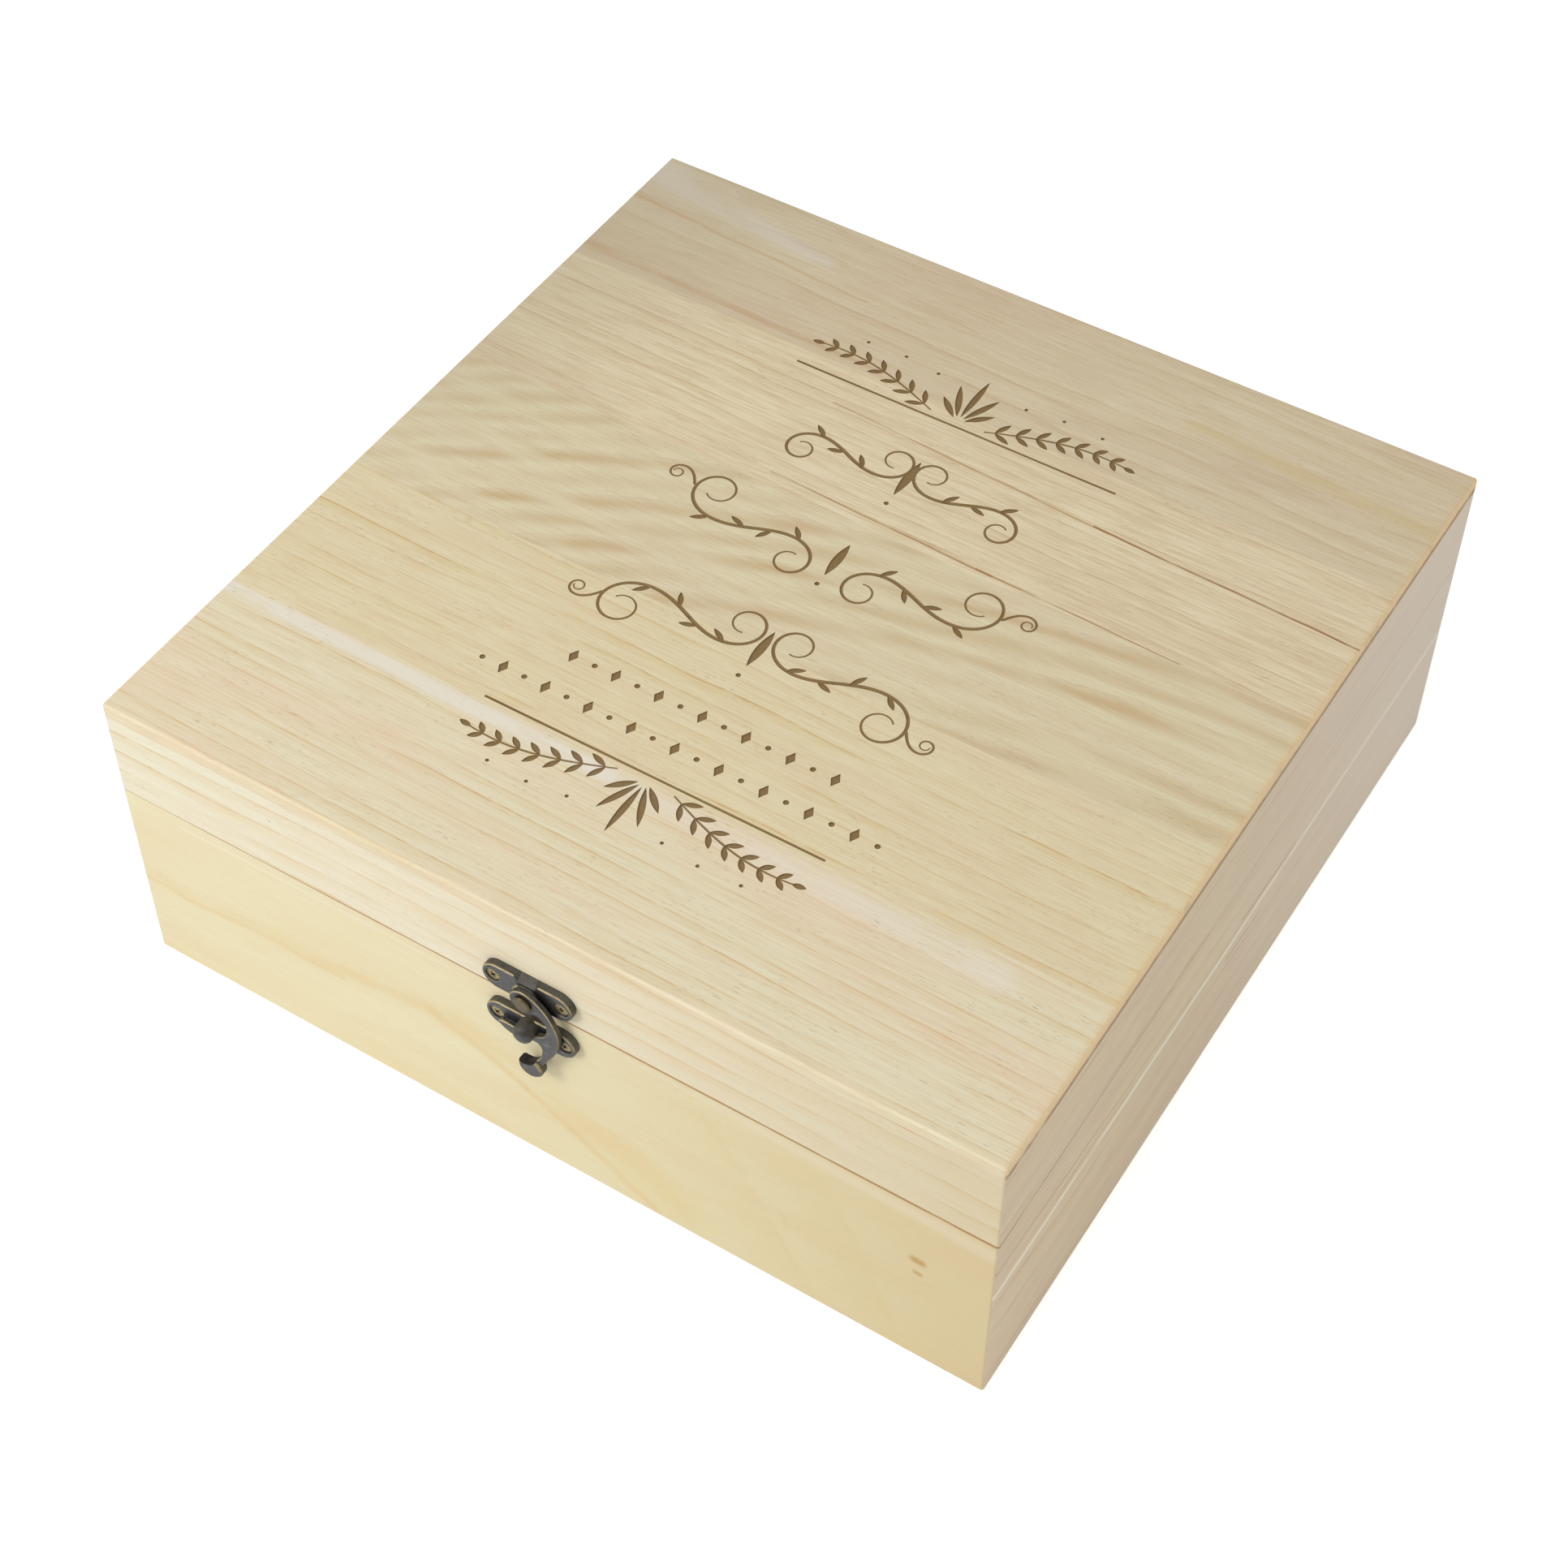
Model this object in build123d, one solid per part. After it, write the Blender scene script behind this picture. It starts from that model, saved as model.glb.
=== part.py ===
"""Keepsake box: hinged lid, mitred carcass, two butt hinges and a swing-hook clasp.

Units are millimetres. The origin is the centre of the underside, the clasp faces -Y,
+X is to the right of someone facing the clasp and +Z is up.
"""
from build123d import *
from math import cos, radians, sin
import os

# ---- carcass ---------------------------------------------------------------------------
box_width = 280.0        # X
box_depth = 280.0        # Y, without the clasp and the hinges
base_height = 71.8
lid_height = 34.9
seam_gap = 0.3           # saw line between base and lid
wall = 9.0               # thickness of the rails and side panels
top_thickness = 4.6      # boards laid over the lid frame
top_board_count = 5
bottom_thickness = 4.0
bottom_ledge = 4.5       # width of the rebate that takes the bottom panel
panel_play = 0.15        # play of the bottom panel in its rebate, each side
arris_round = 0.9        # softened upright and upper edges
foot_chamfer = 0.5       # eased edge round the underside
side_joint_height = 46.0  # glue line between the two boards of each side panel

# ---- clasp plates ----------------------------------------------------------------------
plate_length = 28.6
plate_height = 9.6
plate_thickness = 2.4
plate_edge_chamfer = 0.35
plate_screw_spacing = 21.7
pivot_above_seam = 5.4   # hook pivot over the saw line
pivot_below_screws = 2.4  # pivot under the screw line of the lid plate
boss_radius = 4.7
boss_height = 2.8        # face that the hook turns on, from the wood
boss_edge_chamfer = 0.25
scoop_depth = 2.0        # how far the scoop over the boss reaches down the plate's face
scoop_lip = 0.2          # thickness left at the plate's upper edge
scoop_floor_width = 5.4
scoop_flare = 40.0       # slant of the scoop's sides, in degrees
catch_below_pivot = 12.1  # catch stud under the pivot
stud_above_screws = 2.0  # stud over the screw line of the catch plate
stud_radius = 3.05
stud_length = 7.3        # from the wood
stud_end_round = 1.8

# ---- clasp hook ------------------------------------------------------------------------
hook_thickness = 1.55
hook_head_radius = 4.4
hook_shoulder_angle = 15.0  # where the arm leaves the head, right of straight up
hook_play = 0.05         # hook to boss, and hook to rivet head
hook_edge_chamfer = 0.3
tooth_reach = 12.65      # least distance from pivot to the tooth's upper edge
tooth_draw = 2.1         # how much farther from the pivot the tooth's tip lies
tooth_root_angle = 20.0  # degrees right of straight down
tooth_tip_angle = -26.5
tooth_tip_slant = 6.0    # the lower edge stops short of the tip by this angle
tooth_notch_angle = 12.0  # top of the notch under the tooth
tooth_root_width = 2.65
tooth_tip_width = 3.6
tooth_tip_bulge = 6.5    # the tip's round end, in degrees past its corners
tooth_play = 0.3         # round the tooth in the stud's slot
# Outline points from the pivot: right edge of the arm, notch under the tooth, and window.
arm_outer = [(6.5, 0.8), (9.6, -4.4), (10.75, -10.4), (9.2, -16.4)]
notch_edge = [(4.0, -21.6), (4.75, -18.6), (4.6, -16.4)]
window_corner = 0.8      # where the window meets the head
window_edge = [(6.2, -10.0), (6.9, -7.0), (6.3, -4.3), (4.6, -3.1), (2.4, -3.2)]
tab_centre = (0.7, -27.8)  # thumb tab, from the pivot
tab_radius = 3.9
tab_hollow_offset = (-2.2, 5.0)  # finger hollow over the tab, from the tab's centre
tab_hollow_radius = 4.25
tab_back = 1.9           # back of the thumb tab, from the wood
tab_front = 5.2
tab_edge_chamfer = 0.6
rivet_radius = 1.4
rivet_head_radius = 2.65
rivet_head_height = 0.85
rivet_head_chamfer = 0.35
rivet_play = 0.05
rivet_tail_spread = 0.5  # flare of the peened end inside the plate

# ---- screws: radii of head, sink and shank, and depth in the wood -----------------------
clasp_screw = {"head": 2.05, "sink": 2.4, "shank": 1.15, "depth": 7.0}
hinge_screw = {"head": 1.8, "sink": 2.0, "shank": 1.1, "depth": 6.0}
screw_play = 0.05        # round every screw shank
screw_lift = 0.03        # head over the cone of its sink
pilot_over = 0.5         # pilot hole past the screw's point

# ---- hinges ----------------------------------------------------------------------------
hinge_count = 2
hinge_inset = 50.0       # hinge centre from the side of the box
leaf_length = 30.0
leaf_height = 11.0       # from the pin axis
leaf_thickness = 0.9
leaf_corner = 1.2
knuckle_radius = 1.75
knuckle_count = 3
knuckle_gap = 0.2        # between neighbouring knuckles
knuckle_stand_off = 0.15  # barrel clear of the wood
hinge_pin_radius = 0.9
hinge_pin_play = 0.05
hinge_pin_overhang = 0.7  # end of the pin past the barrel
hinge_pin_chamfer = 0.4
hinge_screw_spacing = 20.0
hinge_screw_height = 6.6  # from the pin axis

thin = 0.01              # tolerance when edges are picked by place

# ---- worked out ------------------------------------------------------------------------
seam_high = base_height + seam_gap
seam = base_height + seam_gap / 2
box_height = seam_high + lid_height
frame_top = box_height - top_thickness
pivot_z = seam + pivot_above_seam
hook_back = boss_height + hook_play
hook_front = hook_back + hook_thickness
rivet_seat = hook_front + hook_play
catch_screws_y = -(catch_below_pivot + stud_above_screws)
pin_stand_off = knuckle_radius + knuckle_stand_off

# Clasp and hinge pieces are drawn in frames of their own: local X along the seam, local Y up,
# local Z out of the wood, with the wood at Z = 0 and the pivot or the pin axis at Y = 0.
clasp_frame = Plane(origin=(0, -box_depth / 2, pivot_z), x_dir=(1, 0, 0), z_dir=(0, -1, 0))
hinge_reach = box_width / 2 - hinge_inset
hinge_xs = [hinge_reach * (2 * i / (hinge_count - 1) - 1) for i in range(hinge_count)]
hinge_frames = [
    Plane(origin=(x, box_depth / 2, seam), x_dir=(-1, 0, 0), z_dir=(0, 1, 0)) for x in hinge_xs
]
pivot_plate_screws = [(side * plate_screw_spacing / 2, pivot_below_screws) for side in (-1, 1)]
catch_plate_screws = [(side * plate_screw_spacing / 2, catch_screws_y) for side in (-1, 1)]
hinge_lid_screws = [(side * hinge_screw_spacing / 2, hinge_screw_height) for side in (-1, 1)]
hinge_base_screws = [(side * hinge_screw_spacing / 2, -hinge_screw_height) for side in (-1, 1)]


def save(shape, name):
    """Write one node to its own STEP file."""
    os.makedirs("parts", exist_ok=True)
    export_step(shape, f"parts/{name}.step")


def block(x_low, x_high, y_low, y_high, z_low, z_high):
    """A box from its six faces."""
    size = (x_high - x_low, y_high - y_low, z_high - z_low)
    centre = ((x_high + x_low) / 2, (y_high + y_low) / 2, (z_high + z_low) / 2)
    return Pos(*centre) * Box(*size)


def rod(radius, low, high):
    """An upright cylinder between two heights."""
    return Pos(0, 0, (low + high) / 2) * Cylinder(radius, high - low)


def cone(low_radius, high_radius, low, high):
    """An upright cone frustum between two heights."""
    return Pos(0, 0, (low + high) / 2) * Cone(low_radius, high_radius, high - low)


def rim(part, height):
    """The edges of a part that lie flat at one height."""
    return [e for e in part.edges() if all(abs(v.Z - height) < thin for v in (e @ 0, e @ 0.5, e @ 1))]


def place(frame, shape):
    """Move a piece from its own frame into the frame of the box."""
    return frame.location * shape


# ---- wood screws -----------------------------------------------------------------------
def screw(kind, surface):
    """A countersunk screw, seated in its sink in a plate whose face is at surface."""
    face = surface - (kind["sink"] - kind["head"]) + screw_lift
    neck = face - (kind["head"] - kind["shank"])
    return cone(kind["shank"], kind["head"], neck, face) + rod(kind["shank"], -kind["depth"], neck)


def sunk_hole(kind, surface):
    """The countersunk hole that a screw takes through a plate."""
    bore = kind["shank"] + screw_play
    sink = cone(bore, kind["sink"], surface - (kind["sink"] - bore), surface)
    return sink + rod(bore, -1, surface) + rod(kind["sink"], surface, surface + 1)


def pilot_hole(kind):
    """The hole that a screw takes in the wood."""
    return rod(kind["shank"] + screw_play, -kind["depth"] - pilot_over, 1)


def at_points(points, shape):
    """Copies of a shape at points of its own frame, as a list."""
    return [Pos(x, y, 0) * shape for x, y in points]


def drilled(wood, frames, points, kind):
    """A board with the pilot holes of the screws that enter it."""
    for frame in frames:
        for hole in at_points(points, pilot_hole(kind)):
            wood -= place(frame, hole)
    return wood


# ---- carcass ---------------------------------------------------------------------------
def rounded_carcass():
    """The closed box as one solid with softened edges, before it is cut into boards."""
    whole = block(-box_width / 2, box_width / 2, -box_depth / 2, box_depth / 2, 0, box_height)
    whole = fillet([e for e in whole.edges() if (e @ 0.5).Z > thin], arris_round)
    return chamfer(rim(whole, 0), foot_chamfer)


def mitred_board(carcass, side, z_low, z_high):
    """One board of a mitred frame. Side counts quarter turns from the front: 1 is the right."""
    half, reach = box_width / 2, box_depth / 2
    if side % 2:
        half, reach = reach, half
    outline = [(-half, -reach), (half, -reach), (half - wall, wall - reach), (wall - half, wall - reach)]
    board = extrude(Pos(0, 0, z_low) * make_face(Polyline(*outline, close=True)), z_high - z_low)
    return Rot(0, 0, 90 * side) * board & carcass


def bottom_recess(play):
    """The space of the bottom panel, less a play on each side."""
    half_x = box_width / 2 - wall + bottom_ledge - play
    half_y = box_depth / 2 - wall + bottom_ledge - play
    return block(-half_x, half_x, -half_y, half_y, 0, bottom_thickness)


def top_boards(carcass):
    """The boards glued edge to edge over the lid frame, from the front to the back."""
    step = box_depth / top_board_count
    for i in range(top_board_count):
        y = i * step - box_depth / 2
        yield block(-box_width / 2, box_width / 2, y, y + step, frame_top, box_height) & carcass


# ---- clasp -----------------------------------------------------------------------------
def polar(angle, radius):
    """A point below the pivot, with the angle in degrees from straight down to the right."""
    return (radius * sin(radians(angle)), -radius * cos(radians(angle)))


def plate_blank(centre_y):
    """The casting that both clasp plates start from, with its worn front edge."""
    flat = Pos(0, centre_y, 0) * SlotOverall(plate_length, plate_height)
    blank = extrude(flat, plate_thickness)
    return chamfer(rim(blank, plate_thickness), plate_edge_chamfer)


def plate_scoop():
    """The slanting scoop that runs down from the plate's upper edge to the boss."""
    edge = pivot_below_screws + plate_height / 2
    top = Vector(0, edge, scoop_lip)
    foot = Vector(0, edge - scoop_depth, plate_thickness)
    down = foot - top
    floor = Plane(origin=(top + foot) * 0.5, x_dir=(1, 0, 0), z_dir=Vector(0, down.Z, -down.Y))
    return extrude(floor * Rectangle(scoop_floor_width, down.length), plate_height, taper=-scoop_flare)


def pivot_plate():
    """The plate on the lid: two screw lobes and the boss that carries the hook."""
    boss = rod(boss_radius, 0, boss_height)
    boss = chamfer(rim(boss, boss_height), boss_edge_chamfer)
    plate = plate_blank(pivot_below_screws) + boss
    plate -= plate_scoop()
    plate -= rod(rivet_radius + rivet_play, -1, boss_height + 1)
    tail = rivet_radius + rivet_play
    plate -= cone(tail + rivet_tail_spread, tail, 0, rivet_tail_spread)
    for hole in at_points(pivot_plate_screws, sunk_hole(clasp_screw, plate_thickness)):
        plate -= hole
    return plate


def rivet():
    """The pivot of the hook: a flat head in front, and a tail peened inside the plate."""
    head = rod(rivet_head_radius, rivet_seat, rivet_seat + rivet_head_height)
    head = chamfer(rim(head, rivet_seat + rivet_head_height), rivet_head_chamfer)
    tail = cone(rivet_radius + rivet_tail_spread, rivet_radius, 0, rivet_tail_spread)
    return head + rod(rivet_radius, 0, rivet_seat) + tail


def tooth_edges():
    """The upper and the lower edge of the tooth, each from its root to its tip.

    The upper edge leaves the pivot towards the tip, so that closing the hook draws the lid down.
    """
    span = tooth_root_angle - tooth_tip_angle
    upper, lower = [], []
    for step in range(4):
        turned = span * step / 3
        rise = tooth_draw * (turned / span) ** 2
        upper.append(polar(tooth_root_angle - turned, tooth_reach + rise))
    for step in range(3):
        share = step / 2
        angle = tooth_notch_angle + (tooth_tip_angle + tooth_tip_slant - tooth_notch_angle) * share
        turned = tooth_root_angle - angle
        width = tooth_root_width + (tooth_tip_width - tooth_root_width) * share
        lower.append(polar(angle, tooth_reach + tooth_draw * (turned / span) ** 2 + width))
    return upper, lower


def hook_blank():
    """The flat outline of the hook: crescent arm, notched tooth and the stem of the thumb tab."""
    upper, lower = tooth_edges()
    tab_x, tab_y = tab_centre
    shoulder = polar(180 - hook_shoulder_angle, hook_head_radius)
    shoulder_run = (cos(radians(hook_shoulder_angle)), -sin(radians(hook_shoulder_angle)))
    stem_out = (tab_x + 0.85 * tab_radius, tab_y + 0.5 * tab_radius)
    stem_in = (tab_x + 0.46 * tab_radius, tab_y + 0.96 * tab_radius)
    stem_run = (stem_out[0] - arm_outer[-1][0], stem_out[1] - arm_outer[-1][1])
    tip = polar(tooth_tip_angle - tooth_tip_bulge, tooth_reach + tooth_draw + tooth_tip_width / 2)
    with BuildSketch() as flat:
        with BuildLine():
            Spline(shoulder, *arm_outer, stem_out, tangents=(shoulder_run, stem_run))
            Line(stem_out, stem_in)
            Spline(stem_in, *notch_edge, *lower, tip, *reversed(upper), *window_edge)
            Line(window_edge[-1], shoulder)
        make_face()
        Circle(hook_head_radius)
        fillet(flat.vertices().sort_by_distance(window_edge[-1])[0], window_corner)
    return flat.sketch


def hook():
    """The swing hook, with its thumb tab thicker than the arm on both sides."""
    arm = extrude(Pos(0, 0, hook_back) * hook_blank(), hook_thickness)
    front_edges = [e for e in rim(arm, hook_front) if e.geom_type != GeomType.LINE]
    arm = chamfer(front_edges, hook_edge_chamfer)
    tab = Pos(*tab_centre, 0) * rod(tab_radius, tab_back, tab_front)
    tab = chamfer(tab.edges().filter_by(GeomType.CIRCLE), tab_edge_chamfer)
    hollow = Pos(*tab_hollow_offset, 0) * rod(tab_hollow_radius, 0, tab_front)
    return arm + (tab - Pos(*tab_centre, 0) * hollow) - rod(rivet_radius + rivet_play, 0, rivet_seat)


def catch_plate():
    """The plate on the base, with the stud whose slot the tooth slides into."""
    stud = Pos(0, -catch_below_pivot, 0) * rod(stud_radius, 0, stud_length)
    stud = fillet(rim(stud, stud_length), stud_end_round)
    plate = plate_blank(catch_screws_y) + stud
    slot = Pos(0, -catch_below_pivot, 0) * rod(
        2 * stud_radius, hook_back - tooth_play, hook_front + tooth_play
    )
    plate -= slot - rod(tooth_reach - tooth_play, 0, stud_length)
    for hole in at_points(catch_plate_screws, sunk_hole(clasp_screw, plate_thickness)):
        plate -= hole
    return plate


# ---- hinges ----------------------------------------------------------------------------
def leaf(up, first_knuckle):
    """A hinge leaf that takes every second knuckle. Up is 1 for the lid's and -1 for the base's."""
    pitch = leaf_length / knuckle_count
    edge = up * (knuckle_radius + knuckle_gap)
    tip = up * leaf_height
    flat = Pos(0, (edge + tip) / 2) * Rectangle(leaf_length, abs(tip - edge))
    outer = [v for v in flat.vertices() if abs(v.Y - tip) < thin]
    plate = extrude(fillet(outer, leaf_corner), leaf_thickness)
    for i in range(first_knuckle, knuckle_count, 2):
        x_low = i * pitch - leaf_length / 2 + (knuckle_gap / 2 if i else 0)
        x_high = (i + 1) * pitch - leaf_length / 2 - (knuckle_gap / 2 if i < knuckle_count - 1 else 0)
        middle, width = (x_low + x_high) / 2, x_high - x_low
        barrel = Pos(middle, 0, pin_stand_off) * Rot(0, 90, 0) * Cylinder(knuckle_radius, width)
        plate += barrel + block(x_low, x_high, min(0, edge), max(0, edge), 0, leaf_thickness)
    plate -= Pos(0, 0, pin_stand_off) * Rot(0, 90, 0) * Cylinder(
        hinge_pin_radius + hinge_pin_play, 2 * leaf_length
    )
    points = hinge_lid_screws if up > 0 else hinge_base_screws
    for hole in at_points(points, sunk_hole(hinge_screw, leaf_thickness)):
        plate -= hole
    return plate


def hinge_pin():
    """The pin, held in the base leaf's knuckles, with a chamfered end on each side."""
    half = leaf_length / 2 + hinge_pin_overhang
    pin = rod(hinge_pin_radius, -half, half)
    pin = chamfer(pin.edges().filter_by(GeomType.CIRCLE), hinge_pin_chamfer)
    return Pos(0, 0, pin_stand_off) * Rot(0, 90, 0) * pin


# ---- build -----------------------------------------------------------------------------
def build_carcass():
    """Write the boards of the base and the lid."""
    carcass = rounded_carcass()
    recess = bottom_recess(0)
    front = mitred_board(carcass, 0, 0, base_height) - recess
    save(drilled(front, [clasp_frame], catch_plate_screws, clasp_screw), "base_front_panel")
    back = mitred_board(carcass, 2, 0, base_height) - recess
    save(drilled(back, hinge_frames, hinge_base_screws, hinge_screw), "base_back_panel")
    for side, name in ((1, "right"), (3, "left")):
        save(mitred_board(carcass, side, 0, side_joint_height) - recess, f"base_{name}_lower_board")
        save(mitred_board(carcass, side, side_joint_height, base_height), f"base_{name}_upper_board")
    save(bottom_recess(panel_play), "base_bottom_panel")

    front_rail = mitred_board(carcass, 0, seam_high, frame_top)
    save(drilled(front_rail, [clasp_frame], pivot_plate_screws, clasp_screw), "lid_front_rail")
    back_rail = mitred_board(carcass, 2, seam_high, frame_top)
    save(drilled(back_rail, hinge_frames, hinge_lid_screws, hinge_screw), "lid_back_rail")
    for side, name in ((1, "right"), (3, "left")):
        save(mitred_board(carcass, side, seam_high, frame_top), f"lid_{name}_rail")
    for number, board in enumerate(top_boards(carcass), 1):
        save(board, f"lid_top_board_{number}")


def build_clasp():
    """Write the pieces of the swing-hook clasp."""
    save(place(clasp_frame, pivot_plate()), "clasp_pivot_plate")
    save(place(clasp_frame, rivet()), "clasp_rivet")
    save(place(clasp_frame, hook()), "clasp_hook")
    save(place(clasp_frame, catch_plate()), "clasp_catch_plate")
    one = screw(clasp_screw, plate_thickness)
    for name, points in (("pivot", pivot_plate_screws), ("catch", catch_plate_screws)):
        both = Compound(children=[place(clasp_frame, s) for s in at_points(points, one)])
        save(both, f"clasp_{name}_plate_screws")


def build_hinges():
    """Write the leaves, the pin and the screws of each hinge."""
    one = screw(hinge_screw, leaf_thickness)
    for number, frame in enumerate(hinge_frames, 1):
        save(place(frame, leaf(1, 1)), f"hinge_{number}_lid_leaf")
        save(place(frame, leaf(-1, 0)), f"hinge_{number}_base_leaf")
        save(place(frame, hinge_pin()), f"hinge_{number}_pin")
        for name, points in (("lid", hinge_lid_screws), ("base", hinge_base_screws)):
            both = Compound(children=[place(frame, s) for s in at_points(points, one)])
            save(both, f"hinge_{number}_{name}_screws")


build_carcass()
build_clasp()
build_hinges()
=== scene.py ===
"""Looks of the keepsake box.

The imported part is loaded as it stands. Its boards get solid pale-pine finishes with their own
grain, the lid is carved with a mirrored penwork ornament, and the clasp and hinges get aged
bronze and brass. Board places are millimetres from the box's left, front, lower corner, because
that is how the boards are marked out; everything that is built is in metres in the row frame.
"""

import logging
import math
from collections.abc import Iterable
from dataclasses import dataclass, field, replace
from enum import Enum

import bmesh
import bpy
from mathutils import Matrix, Vector

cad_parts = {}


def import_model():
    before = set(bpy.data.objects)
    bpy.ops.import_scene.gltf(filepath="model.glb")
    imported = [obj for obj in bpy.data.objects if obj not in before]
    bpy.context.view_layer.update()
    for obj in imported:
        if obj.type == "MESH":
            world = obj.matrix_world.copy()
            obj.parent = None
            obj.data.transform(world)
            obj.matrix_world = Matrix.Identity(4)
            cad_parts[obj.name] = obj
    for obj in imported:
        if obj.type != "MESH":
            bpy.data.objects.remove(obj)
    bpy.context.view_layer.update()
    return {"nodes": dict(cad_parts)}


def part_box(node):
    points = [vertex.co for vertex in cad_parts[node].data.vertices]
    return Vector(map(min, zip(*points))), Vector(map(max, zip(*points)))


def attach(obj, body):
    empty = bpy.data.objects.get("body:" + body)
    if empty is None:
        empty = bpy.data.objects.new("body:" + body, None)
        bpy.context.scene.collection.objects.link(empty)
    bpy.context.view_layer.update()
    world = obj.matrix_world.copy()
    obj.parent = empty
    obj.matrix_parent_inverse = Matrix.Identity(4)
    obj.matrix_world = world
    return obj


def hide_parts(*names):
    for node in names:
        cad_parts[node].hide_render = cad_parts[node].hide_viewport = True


log = logging.getLogger("keepsake_box")

Colour = tuple[float, float, float]
Point = tuple[float, float]
Socket = bpy.types.NodeSocket
Piece = bpy.types.Object
Material = bpy.types.Material
BMesh = bmesh.types.BMesh
Value = float | tuple | Socket

MM = 0.001
BOX_WIDTH_MM = 280.0
BOX_DEPTH_MM = 280.0
BOX_HEIGHT_MM = 107.0
SEAM_MM = 71.95
MERGE_WITHIN = 1e-7


def shade(red: int, green: int, blue: int) -> Colour:
    """Turn eight-bit display values into a linear colour.

    Args:
        red: Red from 0 to 255.
        green: Green from 0 to 255.
        blue: Blue from 0 to 255.

    Returns:
        The linear colour that shader sockets take.
    """

    def linear(level: int) -> float:
        """One channel of the colour."""
        share = level / 255
        return share / 12.92 if share <= 0.04045 else ((share + 0.055) / 1.055) ** 2.4

    return linear(red), linear(green), linear(blue)


class NodeSheet:
    """One procedural material, or the sky, while its nodes are being laid."""

    def __init__(self, name: str, sky: bool = False) -> None:
        """Start without any node.

        Args:
            name: Name of the material or of the sky.
            sky: Whether it is the sky.
        """
        self.block = (bpy.data.worlds if sky else bpy.data.materials).new(name)
        self.block.use_nodes = True
        self.tree = self.block.node_tree
        self.tree.nodes.clear()

    def feed(self, socket: Socket, value: Value) -> None:
        """Link a socket to another, or set it to a constant.

        Args:
            socket: The input to fill.
            value: A socket, a number, a vector or a colour.
        """
        if isinstance(value, Socket):
            self.tree.links.new(value, socket)
        elif socket.type == "RGBA" and len(value) == 3:
            socket.default_value = (*value, 1.0)
        else:
            socket.default_value = value

    def node(self, kind: str, inputs: dict, **settings: object) -> bpy.types.Node:
        """Add a node.

        Args:
            kind: Blender's type name of the node.
            inputs: Values for its inputs by name or index.
            **settings: Attributes of the node.

        Returns:
            The node.
        """
        made = self.tree.nodes.new(kind)
        for key, setting in settings.items():
            setattr(made, key, setting)
        for key, value in inputs.items():
            self.feed(made.inputs[key], value)
        return made

    def math(self, operation: str, *values: Value) -> Socket:
        """One scalar operation on its operands."""
        return self.node("ShaderNodeMath", dict(enumerate(values)), operation=operation).outputs[0]

    def times(self, first: Value, second: Value) -> Socket:
        """The product of two numbers."""
        return self.math("MULTIPLY", first, second)

    def less(self, first: Value, second: Value) -> Socket:
        """The first number less the second."""
        return self.math("SUBTRACT", first, second)

    def scaled(self, value: Value, factor: Value, plus: Value) -> Socket:
        """A number times a factor, plus another."""
        return self.math("MULTIPLY_ADD", value, factor, plus)

    def weave(self, operation: str, *values: Value) -> Socket:
        """One vector operation, as its vector result."""
        return self.node("ShaderNodeVectorMath", dict(enumerate(values)), operation=operation).outputs[0]

    def measure(self, operation: str, *values: Value) -> Socket:
        """One vector operation, as its number result."""
        return self.node("ShaderNodeVectorMath", dict(enumerate(values)), operation=operation).outputs[1]

    def vector(self, x: Value, y: Value, z: Value) -> Socket:
        """A vector from three numbers."""
        return self.node("ShaderNodeCombineXYZ", {0: x, 1: y, 2: z}).outputs[0]

    def split(self, vector: Value) -> list[Socket]:
        """The three numbers of a vector."""
        return list(self.node("ShaderNodeSeparateXYZ", {0: vector}).outputs)

    def ease(self, value: Value, low: Value, high: Value) -> Socket:
        """A smooth step from 0 at low to 1 at high."""
        inputs = {"Value": value, "From Min": low, "From Max": high}
        return self.node("ShaderNodeMapRange", inputs, interpolation_type="SMOOTHSTEP").outputs[0]

    def blend(self, share: Value, first: Value, second: Value) -> Socket:
        """Two colours mixed by a share."""
        inputs = {0: share, 6: first, 7: second}
        return self.node("ShaderNodeMix", inputs, data_type="RGBA").outputs[2]

    def noise(self, vector: Value, detail: float = 2.0, roughness: float = 0.5) -> Socket:
        """Noise with features about one unit of the vector across."""
        inputs = {"Vector": vector, "Scale": 1.0, "Detail": detail, "Roughness": roughness}
        return self.node("ShaderNodeTexNoise", inputs).outputs[0]

    def bump(self, height: Value, depth_mm: float) -> Socket:
        """A normal raised by a height from 0 to 1."""
        inputs = {"Strength": 1.0, "Distance": depth_mm * MM, "Height": height}
        return self.node("ShaderNodeBump", inputs).outputs[0]

    def finish(self, shader: Socket, output: str = "Material") -> Material | bpy.types.World:
        """Wire the shader to the output.

        Args:
            shader: The surface shader's socket.
            output: Kind of the output.

        Returns:
            The finished material or sky.
        """
        self.node(f"ShaderNodeOutput{output}", {"Surface": shader})
        return self.block

    def surface(self, inputs: dict) -> Material:
        """The finished material of one principled shader with these inputs."""
        return self.finish(self.node("ShaderNodeBsdfPrincipled", inputs).outputs[0])


class Grain(Enum):
    """How a board lies: the axes along its grain, across its face and through it."""

    LYING = (0, 1, 2)
    FACING = (0, 2, 1)
    SIDEWAYS = (1, 2, 0)


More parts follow.
